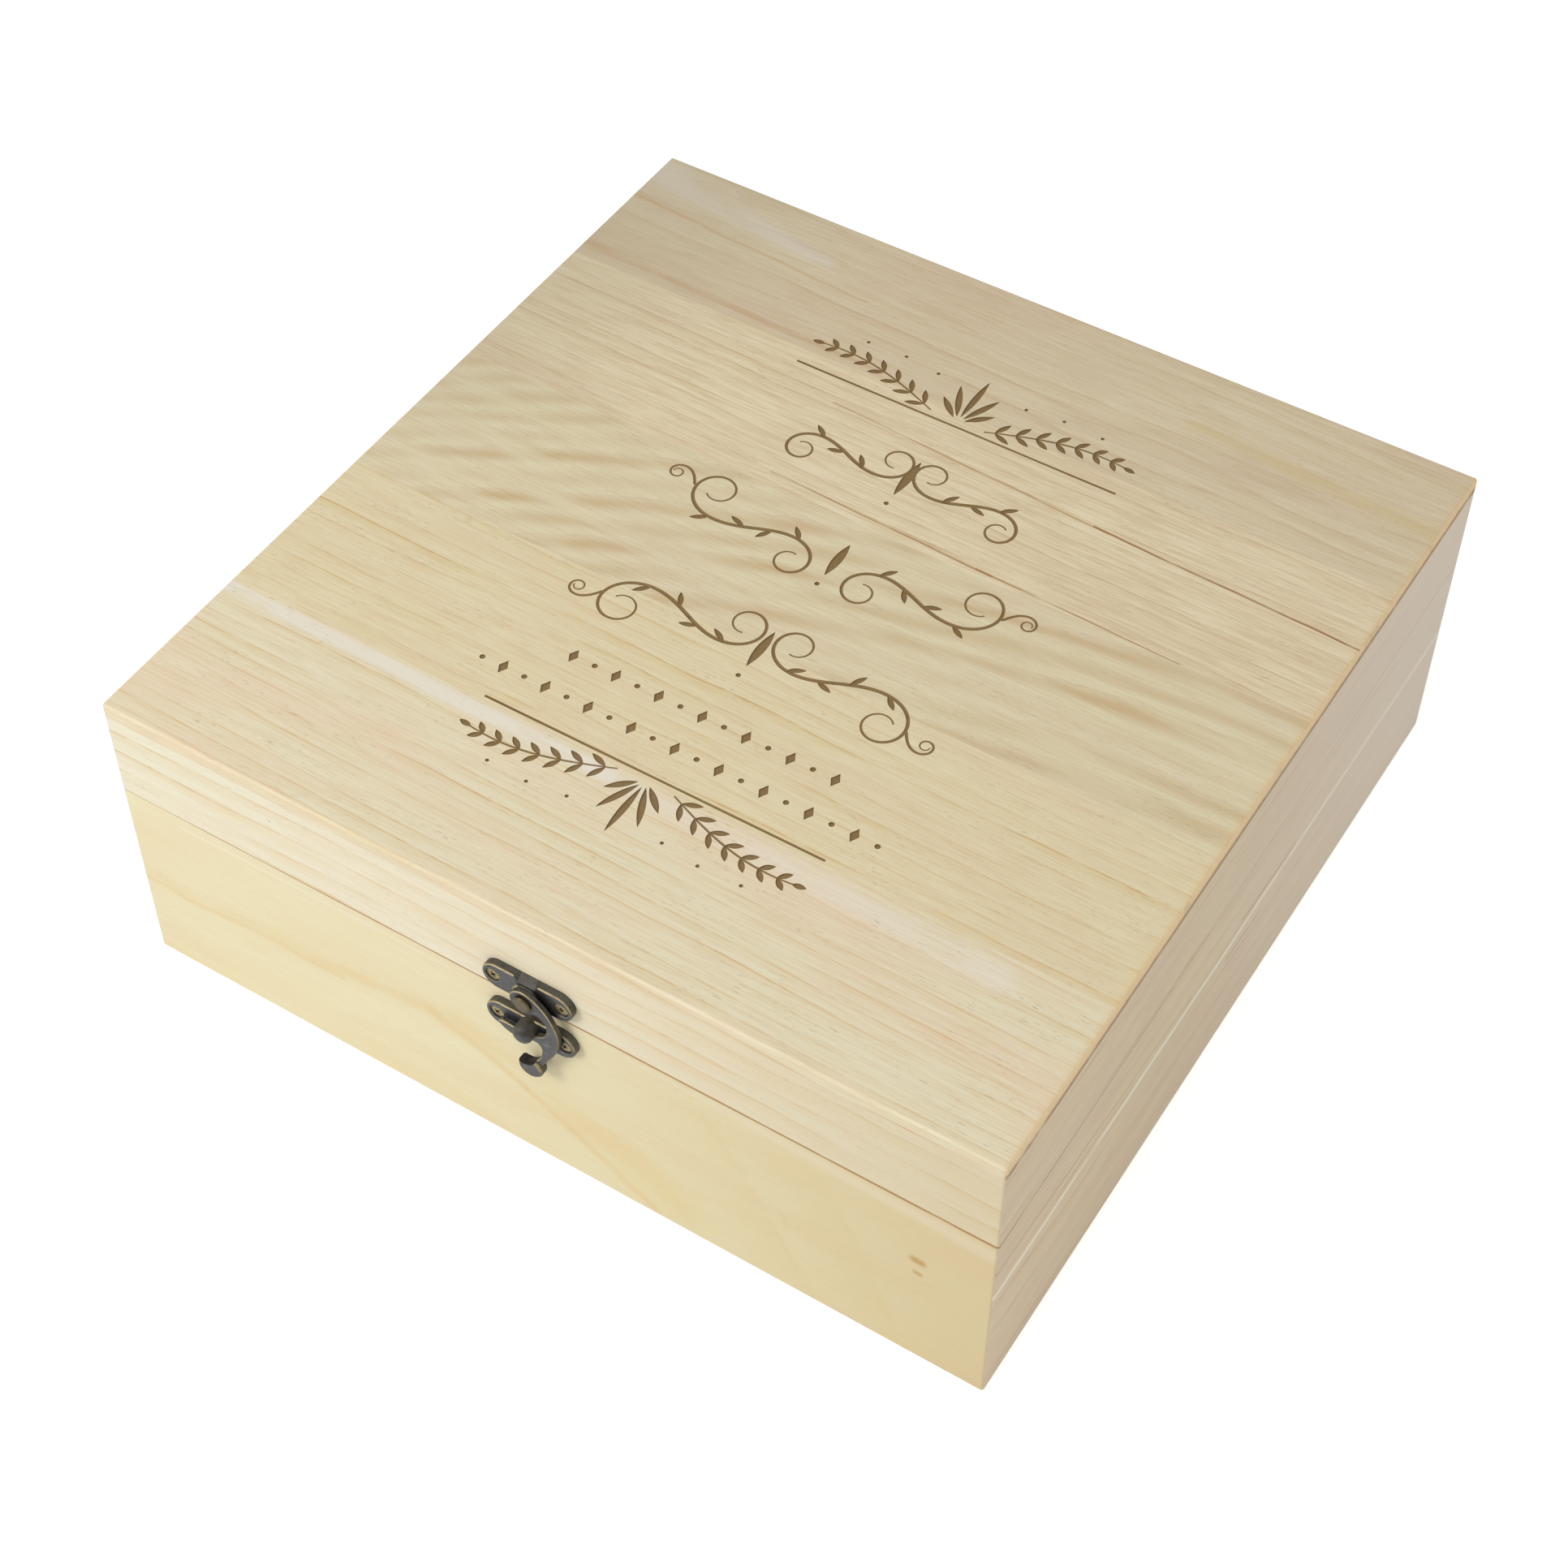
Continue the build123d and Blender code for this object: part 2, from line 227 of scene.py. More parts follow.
class WoodSheet(NodeSheet):
    """The material of one board, which knows how the board lies."""

    def __init__(self, name: str, grain: Grain, seed: float) -> None:
        """Start the material with places along, across and through the board, in millimetres.

        Args:
            name: Name of the material.
            grain: How the board lies.
            seed: Moves the noise.
        """
        super().__init__(name)
        self.seed = seed
        inputs = {
            "Vector": self.node("ShaderNodeTexCoord", {}).outputs["Object"],
            "Location": (BOX_WIDTH_MM / 2, BOX_DEPTH_MM / 2, 0.0),
            "Scale": (1 / MM, 1 / MM, 1 / MM),
        }
        parts = self.split(self.node("ShaderNodeMapping", inputs).outputs[0])
        self.axes = [parts[axis] for axis in grain.value]

    def stretched(
        self, along: float, across: float, shift: float, order: tuple[int, ...] = (0, 1, 2)
    ) -> Socket:
        """Board places scaled so that noise gets features of a given size.

        Args:
            along: Length of the features.
            across: Their width and their depth.
            shift: Moves this noise against the board's others.
            order: The board's axes that are taken for length, width and depth.

        Returns:
            The scaled places.
        """
        sizes = (along, across, across)
        return self.vector(
            *(self.scaled(self.axes[axis], 1 / size, self.seed + shift) for axis, size in zip(order, sizes))
        )

    def from_middle(self, axis: int) -> Socket:
        """Distance from the middle of the box along one of the board's axes."""
        return self.math("ABSOLUTE", self.less(self.axes[axis], BOX_WIDTH_MM / 2))


@dataclass(frozen=True)
class Streak:
    """A mark in the wood that runs straight from one point of a board's face to another.

    Attributes:
        start: Where it starts, along and across the grain.
        end: Where it ends.
        widths: Half its width at the start and at the end.
        colour: Its own colour.
        strength: How much of its colour shows, from 0 to 1.
        softness: The share of the half width over which it fades.
        wander: How far noise moves it sideways.
        skin: Depth that it reaches into an upright board from the outside, or 0 for right through.
    """

    start: Point
    end: Point
    widths: Point
    colour: Colour
    strength: float
    softness: float = 1.0
    wander: float = 1.0
    skin: float = 0.0


@dataclass(frozen=True)
class EndBand:
    """A level band of colour on the end grain of a lying board.

    Attributes:
        low: Its lower edge, above the floor.
        high: Its upper edge.
        colour: Its colour.
        strength: How much of its colour shows, from 0 to 1.
    """

    low: float
    high: float
    colour: Colour
    strength: float


@dataclass(frozen=True)
class PineFinish:
    """Solid pale pine, cut so that its growth rings run over the board as the fields say.

    Attributes:
        grain: How the board lies.
        early: Colour of the early wood.
        late: Colour of the late wood.
        line: Colour of the thin line that ends each ring.
        ring: Width of a growth ring.
        drop: Share of a ring over which its late wood ends.
        late_share: How strongly the late wood shows.
        line_share: How strongly the line shows.
        crest: Place along the grain where the rings turn.
        left: Lean and curl of the rings before the crest.
        right: Lean and curl of the rings past the crest.
        wobble: How far noise moves the rings.
        blush: Colour of the broad soft patches.
        blush_share: How strongly they show.
        fibres: How strongly the fine fibres show.
        pores: How strongly the short pore dashes show.
        seed: Moves the noise, so that no two boards are alike.
        streaks: The board's own marks.
        ends: Bands on its end grain.
    """

    grain: Grain
    early: Colour
    late: Colour
    line: Colour
    ring: float
    late_share: float
    line_share: float
    crest: float = 0.0
    left: Point = (0.0, 0.0)
    right: Point = (0.0, 0.0)
    wobble: float = 1.5
    drop: float = 0.1
    blush: Colour = shade(226, 200, 170)
    blush_share: float = 0.35
    fibres: float = 0.16
    pores: float = 0.3
    seed: float = 0.0
    streaks: tuple[Streak, ...] = ()
    ends: tuple[EndBand, ...] = ()

    def ring_phase(self, sheet: WoodSheet) -> Socket:
        """Count the growth rings.

        Args:
            sheet: The board's material.

        Returns:
            A number that rises by 1 per ring.
        """
        along, across, through = sheet.axes
        from_crest = sheet.less(along, self.crest)
        place = across
        for side, (lean, curl) in (("MINIMUM", self.left), ("MAXIMUM", self.right)):
            run = sheet.math(side, from_crest, 0.0)
            slope = sheet.scaled(run, curl, lean)
            place = sheet.less(place, sheet.times(run, slope))
        drift = sheet.noise(sheet.stretched(70.0, 16.0, 0.0), 2.0)
        place = sheet.math("ADD", place, sheet.times(sheet.less(drift, 0.5), 4 * self.wobble))
        place = sheet.math("ADD", place, sheet.times(through, 0.4))
        return sheet.scaled(place, 1 / self.ring, self.seed)

    def ring_bands(self, sheet: WoodSheet) -> tuple[Socket, Socket]:
        """Draw the rings, each of its own strength.

        Args:
            sheet: The board's material.

        Returns:
            Late wood and ring line as masks from 0 to 1.
        """
        phase = self.ring_phase(sheet)
        share = sheet.math("FRACT", phase)
        ring_number = sheet.math("FLOOR", phase)
        own = sheet.node("ShaderNodeTexWhiteNoise", {"W": ring_number}, noise_dimensions="1D").outputs[0]
        strength = sheet.scaled(own, 0.7, 0.3)
        fading = sheet.noise(sheet.stretched(55.0, 9.0, 3.7), 1.0)
        strength = sheet.times(strength, sheet.ease(fading, 0.25, 0.65))
        late = sheet.times(sheet.ease(share, 0.12, 0.96 - self.drop), sheet.ease(share, 1.0, 1.0 - self.drop))
        line = sheet.times(sheet.ease(share, 0.8, 0.9), sheet.ease(share, 0.97, 0.91))
        broken = sheet.noise(sheet.stretched(8.0, 1.3, 6.2), 2.0, 0.65)
        line = sheet.times(line, sheet.ease(broken, 0.3, 0.58))
        return sheet.times(late, strength), sheet.times(line, strength)

    def streak_mask(self, sheet: WoodSheet, streak: Streak) -> Socket:
        """Draw one streak.

        Args:
            sheet: The board's material.
            streak: The streak.

        Returns:
            The share of its colour at each place of the board.
        """
        drift = sheet.noise(sheet.stretched(24.0, 60.0, streak.start[0]), 2.0)
        across = sheet.scaled(sheet.less(drift, 0.5), 2 * streak.wander, sheet.axes[1])
        start = (*streak.start, 0.0)
        run = (streak.end[0] - streak.start[0], streak.end[1] - streak.start[1], 0.0)
        offset = sheet.weave("SUBTRACT", sheet.vector(sheet.axes[0], across, 0.0), start)
        square = max(run[0] ** 2 + run[1] ** 2, 0.01)
        share = sheet.math("DIVIDE", sheet.measure("DOT_PRODUCT", offset, run), square)
        share = sheet.node("ShaderNodeClamp", {0: share}).outputs[0]
        on_line = sheet.node("ShaderNodeVectorMath", {0: run, "Scale": share}, operation="SCALE").outputs[0]
        away = sheet.measure("DISTANCE", offset, on_line)
        width = sheet.scaled(share, streak.widths[1] - streak.widths[0], streak.widths[0])
        inner = sheet.times(width, 1 - streak.softness)
        size = max(streak.widths)
        patchy = sheet.noise(sheet.stretched(9.0 + 3 * size, 3.0 + size, streak.end[0]), 2.0)
        mask = sheet.times(sheet.ease(away, width, inner), sheet.ease(patchy, 0.1, 0.52))
        if streak.skin:
            half = BOX_WIDTH_MM / 2
            depth = sheet.ease(sheet.from_middle(2), half - streak.skin, half - 0.4 * streak.skin)
            mask = sheet.times(mask, depth)
        return sheet.times(mask, streak.strength)

    def end_mask(self, sheet: WoodSheet, band: EndBand) -> Socket:
        """Draw one band on the end grain.

        Args:
            sheet: The board's material.
            band: The band.

        Returns:
            The share of its colour at each place of the board.
        """
        half = BOX_WIDTH_MM / 2
        patchy = sheet.noise(sheet.stretched(60.0, 9.0, band.high, (0, 1, 0)), 2.0)
        mask = sheet.times(sheet.ease(sheet.from_middle(0), half - 0.7, half - 0.2), sheet.ease(patchy, 0.2, 0.5))
        jag = sheet.noise(sheet.stretched(60.0, 2.2, band.low, (0, 1, 0)), 2.0, 0.6)
        height = sheet.scaled(sheet.less(jag, 0.5), 1.4, sheet.axes[2])
        for low, high in ((band.low - 0.3, band.low + 0.3), (band.high + 0.3, band.high - 0.3)):
            mask = sheet.times(mask, sheet.ease(height, low, high))
        return sheet.times(mask, band.strength)

    def colour(self, sheet: WoodSheet) -> tuple[Socket, Socket]:
        """Lay rings, blush, fibres, pores and marks over each other.

        Args:
            sheet: The board's material.

        Returns:
            Colour of the wood, and the height of its surface from 0 to 1.
        """
        late, line = self.ring_bands(sheet)
        tone = sheet.blend(sheet.times(late, self.late_share), self.early, self.late)
        tone = sheet.blend(sheet.times(line, self.line_share), tone, self.line)
        patches = sheet.noise(sheet.stretched(110.0, 24.0, 8.1), 3.0, 0.6)
        patches = sheet.times(sheet.ease(patches, 0.38, 0.7), self.blush_share)
        tone = sheet.blend(patches, tone, self.blush)
        fibre = sheet.noise(sheet.stretched(15.0, 0.55, 5.3), 3.0, 0.65)
        fibre = sheet.ease(fibre, 0.35, 0.75)
        tone = sheet.blend(sheet.times(fibre, self.fibres), tone, self.line)
        dashes = sheet.noise(sheet.stretched(2.6, 0.28, 1.9), 1.0, 0.4)
        grouped = sheet.noise(sheet.stretched(30.0, 7.0, 2.4), 1.0)
        pore = sheet.times(sheet.ease(dashes, 0.66, 0.78), sheet.ease(grouped, 0.35, 0.7))
        tone = sheet.blend(sheet.times(pore, self.pores), tone, PORE)
        for streak in self.streaks:
            tone = sheet.blend(self.streak_mask(sheet, streak), tone, streak.colour)
        for band in self.ends:
            tone = sheet.blend(self.end_mask(sheet, band), tone, band.colour)
        height = sheet.less(sheet.times(fibre, 0.4), pore)
        return tone, height

    def make(self, name: str) -> Material:
        """Lay the material's nodes.

        Args:
            name: Name of the material.

        Returns:
            The material.
        """
        sheet = WoodSheet(name, self.grain, self.seed)
        tone, height = self.colour(sheet)
        return sheet.surface(
            {
                "Base Color": tone,
                "Roughness": 0.62,
                "Specular IOR Level": 0.3,
                "Normal": sheet.bump(height, 0.05),
            }
        )


@dataclass(frozen=True)
class BurntFinish:
    """The brown that a laser leaves at the bottom of a shallow cut in pine.

    Attributes:
        wood: Finish of the board that is cut.
        brown: Colour of the burn.
        cover: How much of the wood's own colour it hides.
    """

    wood: PineFinish
    brown: Colour
    cover: float = 0.93

    def make(self, name: str) -> Material:
        """Lay the material's nodes.

        Args:
            name: Name of the material.

        Returns:
            The material.
        """
        sheet = WoodSheet(name, self.wood.grain, self.wood.seed)
        tone, _ = self.wood.colour(sheet)
        soot_and_shade = sheet.noise(sheet.stretched(1.6, 0.5, 4.4), 2.0)
        cover = sheet.scaled(soot_and_shade, -0.12, self.cover + 0.06)
        return sheet.surface(
            {
                "Base Color": sheet.blend(cover, tone, self.brown),
                "Roughness": 0.85,
                "Specular IOR Level": 0.15,
                "Normal": sheet.bump(soot_and_shade, 0.04),
            }
        )


@dataclass(frozen=True)
class Spot:
    """A round place of a casting's front, in millimetres across and above the floor.

    Attributes:
        middle: Its middle.
        radius: Its radius.
        soot_and_shade: How dark it is, from 0 to 1: painted shade in most spots, the stud's own darker tone in
            one.
        grain: How much of the walls' grain stays in it, from 0 to 1.
        blur: Width over which it fades inwards.
    """

    middle: Point
    radius: float
    soot_and_shade: float = 0.0
    grain: float = 0.0
    blur: float = 0.15


@dataclass(frozen=True)
class BronzeFinish:
    """Cast zinc in antique bronze: smooth dark faces, brass worn through on the edges, with painted highlights on
    the upper edges and painted shade and sheen in places.

    Attributes:
        outward: 1 where the smooth faces look along +Y, and -1 where they look along -Y.
        face: Colour of the smooth faces.
        wall: Colour of the rough side walls.
        speck: Colour of the specks on the walls.
        edge: Colour of the slopes along the edges.
        wear_and_highlight: Colour of the thin lines on the edges: rubbed brass, which is also a painted highlight
            where the edges face up.
        painted_sheen: Colour of the pale painted sheen, a painted reflection in patches on the faces.
        spots: Places that are darker, mostly by painted shade, or that no brass shows in.
    """

    outward: int
    face: Colour
    wall: Colour
    speck: Colour
    edge: Colour
    wear_and_highlight: Colour
    painted_sheen: Colour
    spots: tuple[Spot, ...] = ()

    def spot_mask(self, sheet: NodeSheet, place: Socket, spot: Spot) -> Socket:
        """Draw one spot.

        Args:
            sheet: The casting's material.
            place: Places on the casting, in millimetres.
            spot: The spot.

        Returns:
            1 inside the spot and 0 outside it.
        """
        flat = sheet.weave("MULTIPLY", place, (1.0, 0.0, 1.0))
        away = sheet.measure("DISTANCE", flat, (spot.middle[0], 0.0, spot.middle[1]))
        return sheet.ease(away, spot.radius, spot.radius - spot.blur)

    def make(self, name: str) -> Material:
        """Lay the material's nodes.

        Args:
            name: Name of the material.

        Returns:
            The material.
        """
        sheet = NodeSheet(name)
        coordinates = sheet.node("ShaderNodeTexCoord", {}).outputs
        _, depth, rise = sheet.split(coordinates["Normal"])
        facing = sheet.times(depth, float(self.outward))
        place = sheet.weave("MULTIPLY", coordinates["Object"], (1 / MM,) * 3)
        fine = sheet.noise(sheet.weave("MULTIPLY", place, (4.6,) * 3), 3.0, 0.7)
        broad = sheet.noise(sheet.weave("MULTIPLY", place, (0.4,) * 3), 2.0)
        smooth = sheet.ease(facing, 0.9, 0.985)
        slope = sheet.times(sheet.ease(facing, 0.25, 0.6), sheet.ease(facing, 0.985, 0.9))
        # Painted shade: the brass slopes fade on edges that face down.
        slope = sheet.times(slope, sheet.scaled(sheet.ease(rise, -0.4, 0.2), 0.75, 0.25))
        # Rubbed brass on the edges, kept to edges that face up, so that it also stands as a painted highlight
        # there.
        wear_and_highlight = sheet.times(sheet.ease(facing, 0.66, 0.82), sheet.ease(facing, 0.99, 0.95))
        wear_and_highlight = sheet.times(wear_and_highlight, sheet.ease(rise, -0.1, 0.4))
        wear_and_highlight = sheet.times(wear_and_highlight, sheet.ease(broad, 0.25, 0.5))
        soot_and_shade = sheet.times(sheet.ease(broad, 0.45, 0.8), 0.5)
        grain = sheet.ease(fine, 0.48, 0.78)
        # Random dark patches above; the spots below add painted shade and painted shadow where they are dark.
        for spot in self.spots:
            inside = self.spot_mask(sheet, place, spot)
            outside = sheet.less(1.0, inside)
            slope = sheet.times(slope, outside)
            wear_and_highlight = sheet.times(wear_and_highlight, outside)
            grain = sheet.times(grain, sheet.scaled(inside, spot.grain - 1.0, 1.0))
            soot_and_shade = sheet.scaled(inside, spot.soot_and_shade, soot_and_shade)
        tone = sheet.blend(grain, self.wall, self.speck)
        tone = sheet.blend(smooth, tone, self.face)
        # Painted sheen: patches of pale painted reflection on the smooth faces.
        painted_sheen = sheet.times(sheet.ease(broad, 0.45, 0.25), smooth)
        tone = sheet.blend(sheet.times(painted_sheen, 0.55), tone, self.painted_sheen)
        tone = sheet.blend(sheet.times(slope, 0.8), tone, self.edge)
        tone = sheet.blend(sheet.node("ShaderNodeClamp", {0: soot_and_shade}).outputs[0], tone, SOOT_AND_SHADE)
        tone = sheet.blend(sheet.times(wear_and_highlight, 0.85), tone, self.wear_and_highlight)
        grit = sheet.times(grain, sheet.scaled(smooth, -0.9, 1.0))
        grit = sheet.times(grit, sheet.scaled(slope, -0.8, 1.0))
        roughness = sheet.scaled(smooth, -0.14, 0.52)
        return sheet.surface(
            {
                "Base Color": tone,
                "Metallic": 0.75,
                "Roughness": sheet.scaled(wear_and_highlight, -0.16, roughness),
                "Normal": sheet.bump(grit, 0.1),
            }
        )


@dataclass(frozen=True)
class BrassFinish:
    """Lacquered brass with dull brown patches.

    Attributes:
        bright: Colour of the clean brass.
        dull: Colour of the patches.
        roughness: How matt it is.
    """

    bright: Colour
    dull: Colour
    roughness: float = 0.38

    def make(self, name: str) -> Material:
        """Lay the material's nodes.

        Args:
            name: Name of the material.

        Returns:
            The material.
        """
        sheet = NodeSheet(name)
        coordinates = sheet.node("ShaderNodeTexCoord", {}).outputs
        place = sheet.weave("MULTIPLY", coordinates["Object"], (1 / MM,) * 3)
        patches = sheet.noise(sheet.weave("MULTIPLY", place, (1.1,) * 3), 3.0, 0.6)
        grit = sheet.noise(sheet.weave("MULTIPLY", place, (5.0,) * 3), 2.0)
        return sheet.surface(
            {
                "Base Color": sheet.blend(sheet.ease(patches, 0.4, 0.75), self.bright, self.dull),
                "Metallic": 1.0,
                "Roughness": self.roughness,
                "Normal": sheet.bump(grit, 0.03),
            }
        )


PORE = shade(160, 126, 88)
BURN = shade(184, 138, 88)
BROWN = shade(128, 101, 60)
PALE = shade(255, 246, 220)
# Dark of the random patches on the castings and of their painted shade and shadow.
SOOT_AND_SHADE = shade(26, 24, 22)
WHITE = (1.0, 1.0, 1.0)

SEAM_BURN = Streak((0.0, SEAM_MM), (280.0, SEAM_MM), (0.15, 0.8), BURN, 0.8, 0.5, 0.15, 1.0)
# Painted shade: the boards darker and more tan towards the box's right end, where the light falls off.
RIGHT_PAINTED_SHADE = Streak((320.0, 0.0), (320.0, 110.0), (230.0, 230.0), shade(206, 180, 128), 0.5, 1.0, 0.0)

FRONT_BASE = PineFinish(
    grain=Grain.FACING, early=shade(230, 221, 184), late=shade(226, 206, 156), line=shade(218, 190, 138),
    ring=64.0, late_share=0.3, line_share=0.1, crest=99.0, left=(0.1, 0.0), right=(-0.05, -0.0078),
    wobble=1.6, blush=shade(228, 206, 164), blush_share=0.5, fibres=0.2, pores=0.22, seed=0.78,
    streaks=(
        RIGHT_PAINTED_SHADE,
        Streak((-6.0, 35.0), (80.0, 38.0), (6.0, 6.5), shade(224, 202, 152), 0.4, 1.0, 4.0),
        Streak((-6.0, 32.5), (72.0, 34.5), (1.7, 1.9), shade(222, 194, 138), 0.45, 1.0, 3.5),
        Streak((62.0, 36.0), (104.0, 43.5), (3.0, 5.5), shade(222, 196, 142), 0.35, 1.0, 3.0),
        Streak((104.0, 43.0), (134.0, 29.0), (3.8, 2.8), shade(222, 192, 134), 0.5, 1.0, 3.0),
        Streak((112.0, 45.0), (184.0, 12.0), (8.0, 14.0), shade(224, 200, 144), 0.4, 1.0, 3.0),
        Streak((134.0, 29.0), (176.0, 2.0), (2.6, 3.4), shade(222, 192, 134), 0.5, 1.0, 3.0),
        Streak((150.0, 70.0), (284.0, 67.0), (0.5, 5.0), shade(230, 216, 188), 0.5, 0.9, 0.8),
        Streak((20.0, 67.5), (112.0, 68.5), (1.2, 1.0), shade(236, 226, 202), 0.6, 0.9, 0.8),
        Streak((257.0, 46.9), (259.0, 46.7), (2.5, 2.5), shade(192, 154, 90), 0.9, 0.9, 0.8),
        Streak((257.6, 41.2), (258.8, 41.0), (1.6, 1.6), shade(194, 160, 100), 0.85, 0.9, 0.6),
        SEAM_BURN,
    ),
)

FRONT_LID = PineFinish(
    grain=Grain.FACING, early=shade(232, 227, 204), late=shade(226, 206, 164), line=shade(208, 174, 120),
    ring=8.4, late_share=0.7, line_share=0.9, wobble=1.7, blush=shade(234, 214, 182), blush_share=0.3,
    fibres=0.24, pores=0.45, seed=0.31, streaks=(RIGHT_PAINTED_SHADE, SEAM_BURN),
)

SIDE = PineFinish(
    grain=Grain.SIDEWAYS, early=shade(237, 219, 185), late=shade(224, 197, 156), line=shade(190, 150, 108),
    ring=12.0, late_share=0.45, line_share=0.45, right=(-0.04, 0.0), wobble=1.6, blush=shade(230, 204, 180),
    blush_share=0.5, fibres=0.26, pores=0.3, seed=2.17,
    streaks=(
        # Painted light: the sides paler towards their back end.
        Streak((300.0, 20.0), (300.0, 90.0), (230.0, 230.0), shade(246, 232, 214), 0.8, 1.0, 0.0),
        Streak((0.0, 59.0), (110.0, 49.5), (1.1, 0.6), shade(186, 152, 112), 0.5, 0.9, 1.0),
        Streak((0.0, 47.4), (285.0, 42.4), (2.0, 2.0), PALE, 0.95, 0.8, 0.7),
        Streak((142.0, 49.0), (176.0, 47.6), (0.9, 0.6), shade(180, 142, 100), 0.65, 0.9, 1.4),
        Streak((134.0, 39.4), (156.0, 38.4), (0.8, 0.5), shade(186, 136, 98), 0.65, 0.9, 1.2),
        Streak((0.0, SEAM_MM), (95.0, SEAM_MM), (0.7, 0.3), BURN, 0.7, 0.8, 0.3, 1.0),
    ),
)

LEFT_SIDE = replace(SIDE, seed=6.1)
BACK = replace(FRONT_LID, ring=11.0, seed=4.6, late_share=0.4)
BACK_BASE = replace(
    FRONT_BASE, early=shade(234, 218, 186), ring=19.0, seed=5.9, crest=170.0, streaks=(SEAM_BURN,)
)
BOTTOM = replace(BACK_BASE, grain=Grain.LYING, seed=7.3, streaks=())

# Painted shade: the top darker towards its far left corner, where less light falls.
FAR_PAINTED_SHADE = Streak((-20.0, 190.0), (0.0, 300.0), (90.0, 120.0), shade(178, 168, 140), 0.4, 1.0, 0.0)
RIGHT_EDGE = Streak((280.0, -5.0), (280.0, 285.0), (2.6, 2.6), shade(224, 186, 130), 0.4, 1.0, 1.0)
# On the top boards' end grain: a pale band, a painted highlight that stands for a rounded arris lit from above,
# over a darker band below it.
TOP_ENDS = (
    EndBand(104.5, 108.0, shade(252, 222, 172), 0.9),
    EndBand(102.0, 104.5, shade(172, 134, 98), 0.8),
)

TOP = (
    PineFinish(
        grain=Grain.LYING, early=shade(228, 220, 189), late=shade(221, 203, 160), line=shade(204, 160, 102),
        ring=4.7, late_share=0.6, line_share=0.75, wobble=1.0, right=(-0.016, 0.0),
        blush=shade(231, 209, 180), blush_share=0.6, fibres=0.3, pores=0.5, seed=0.4,
        streaks=(
            Streak((-4.0, 53.4), (130.0, 52.0), (2.8, 3.6), shade(234, 227, 216), 0.62, 0.6, 1.0),
            Streak((120.0, 52.0), (250.0, 49.0), (3.6, 8.0), shade(234, 226, 214), 0.4, 1.0, 1.5),
            RIGHT_EDGE,
        ),
    ),
    PineFinish(
        grain=Grain.LYING, early=shade(227, 215, 178), late=shade(217, 198, 148), line=shade(196, 152, 92),
        ring=5.6, late_share=0.6, line_share=0.75, wobble=1.2, right=(-0.012, 0.0),
        blush=shade(226, 205, 172), blush_share=0.4, fibres=0.3, pores=0.45, seed=1.3,
        streaks=(RIGHT_EDGE,),
    ),
    PineFinish(
        grain=Grain.LYING, early=shade(224, 213, 178), late=shade(202, 176, 132), line=shade(190, 158, 112),
        ring=9.4, drop=0.4, late_share=0.95, line_share=0.25, right=(0.62, -0.0011), wobble=1.8,
        blush=shade(222, 206, 178), blush_share=0.3, fibres=0.3, pores=0.3, seed=2.6,
        streaks=(FAR_PAINTED_SHADE, RIGHT_EDGE),
    ),
    PineFinish(
        grain=Grain.LYING, early=shade(232, 219, 185), late=shade(213, 189, 145), line=shade(182, 140, 90),
        ring=4.6, late_share=0.55, line_share=0.65, right=(-0.02, 0.0), wobble=1.5,
        blush=shade(216, 194, 162), blush_share=0.4, fibres=0.4, pores=0.4, seed=3.4,
        streaks=(
            FAR_PAINTED_SHADE,
            RIGHT_EDGE,
            Streak((105.0, 208.0), (200.0, 202.5), (0.3, 0.5), shade(168, 126, 74), 0.7, 0.7, 0.5),
            Streak((195.0, 203.0), (280.0, 199.0), (0.5, 0.6), shade(150, 106, 54), 0.9, 0.7, 0.6),
            Streak((105.0, 173.0), (180.0, 170.0), (0.3, 0.6), shade(160, 116, 64), 0.8, 0.8, 0.5),
            Streak((175.0, 170.3), (240.0, 168.2), (0.6, 0.3), shade(160, 116, 64), 0.8, 0.8, 0.3),
        ),
    ),
    PineFinish(
        grain=Grain.LYING, early=shade(220, 206, 174), late=shade(206, 183, 146), line=shade(182, 148, 108),
        ring=7.5, late_share=0.6, line_share=0.4, right=(-0.05, 0.0), wobble=2.8,
        blush=shade(210, 187, 158), blush_share=0.6, fibres=0.34, pores=0.3, seed=4.7,
        streaks=(
            FAR_PAINTED_SHADE,
            RIGHT_EDGE,
            Streak((0.0, 230.0), (110.0, 226.5), (3.2, 1.6), shade(186, 150, 108), 0.5, 1.0, 1.6),
            Streak((0.0, 272.0), (70.0, 262.0), (11.0, 5.0), shade(216, 210, 198), 0.5, 1.0, 2.0),
            Streak((0.0, 258.0), (90.0, 252.0), (1.4, 0.8), shade(192, 154, 108), 0.45, 1.0, 1.6),
            Streak((200.0, 256.0), (290.0, 252.0), (4.0, 6.0), shade(210, 188, 138), 0.5, 1.0, 2.0),
        ),
    ),
)

PIVOT_MM = 77.35
SCREW_REACH_MM = 10.85
# Painted shadow in the countersinks round the plates' screw heads.
SCREW_SINK_SHADOWS = [
    Spot((side * SCREW_REACH_MM, PIVOT_MM + rise), 2.45, 0.75) for side in (-1, 1) for rise in (2.4, -14.1)
]
HOOK_BRONZE = BronzeFinish(
    outward=-1,
    face=shade(60, 60, 63),
    wall=shade(85, 82, 75),
    speck=shade(140, 136, 120),
    edge=shade(118, 102, 70),
    wear_and_highlight=shade(228, 208, 156),
    painted_sheen=shade(92, 93, 99),
    spots=(
        # Painted shade in the hollow of the thumb tab.
        Spot((-1.5, PIVOT_MM - 22.8), 4.45, 0.6),
        # Painted shadow round the rivet's head.
        Spot((0.0, PIVOT_MM), 4.3, 0.6, blur=1.3),
    ),
)
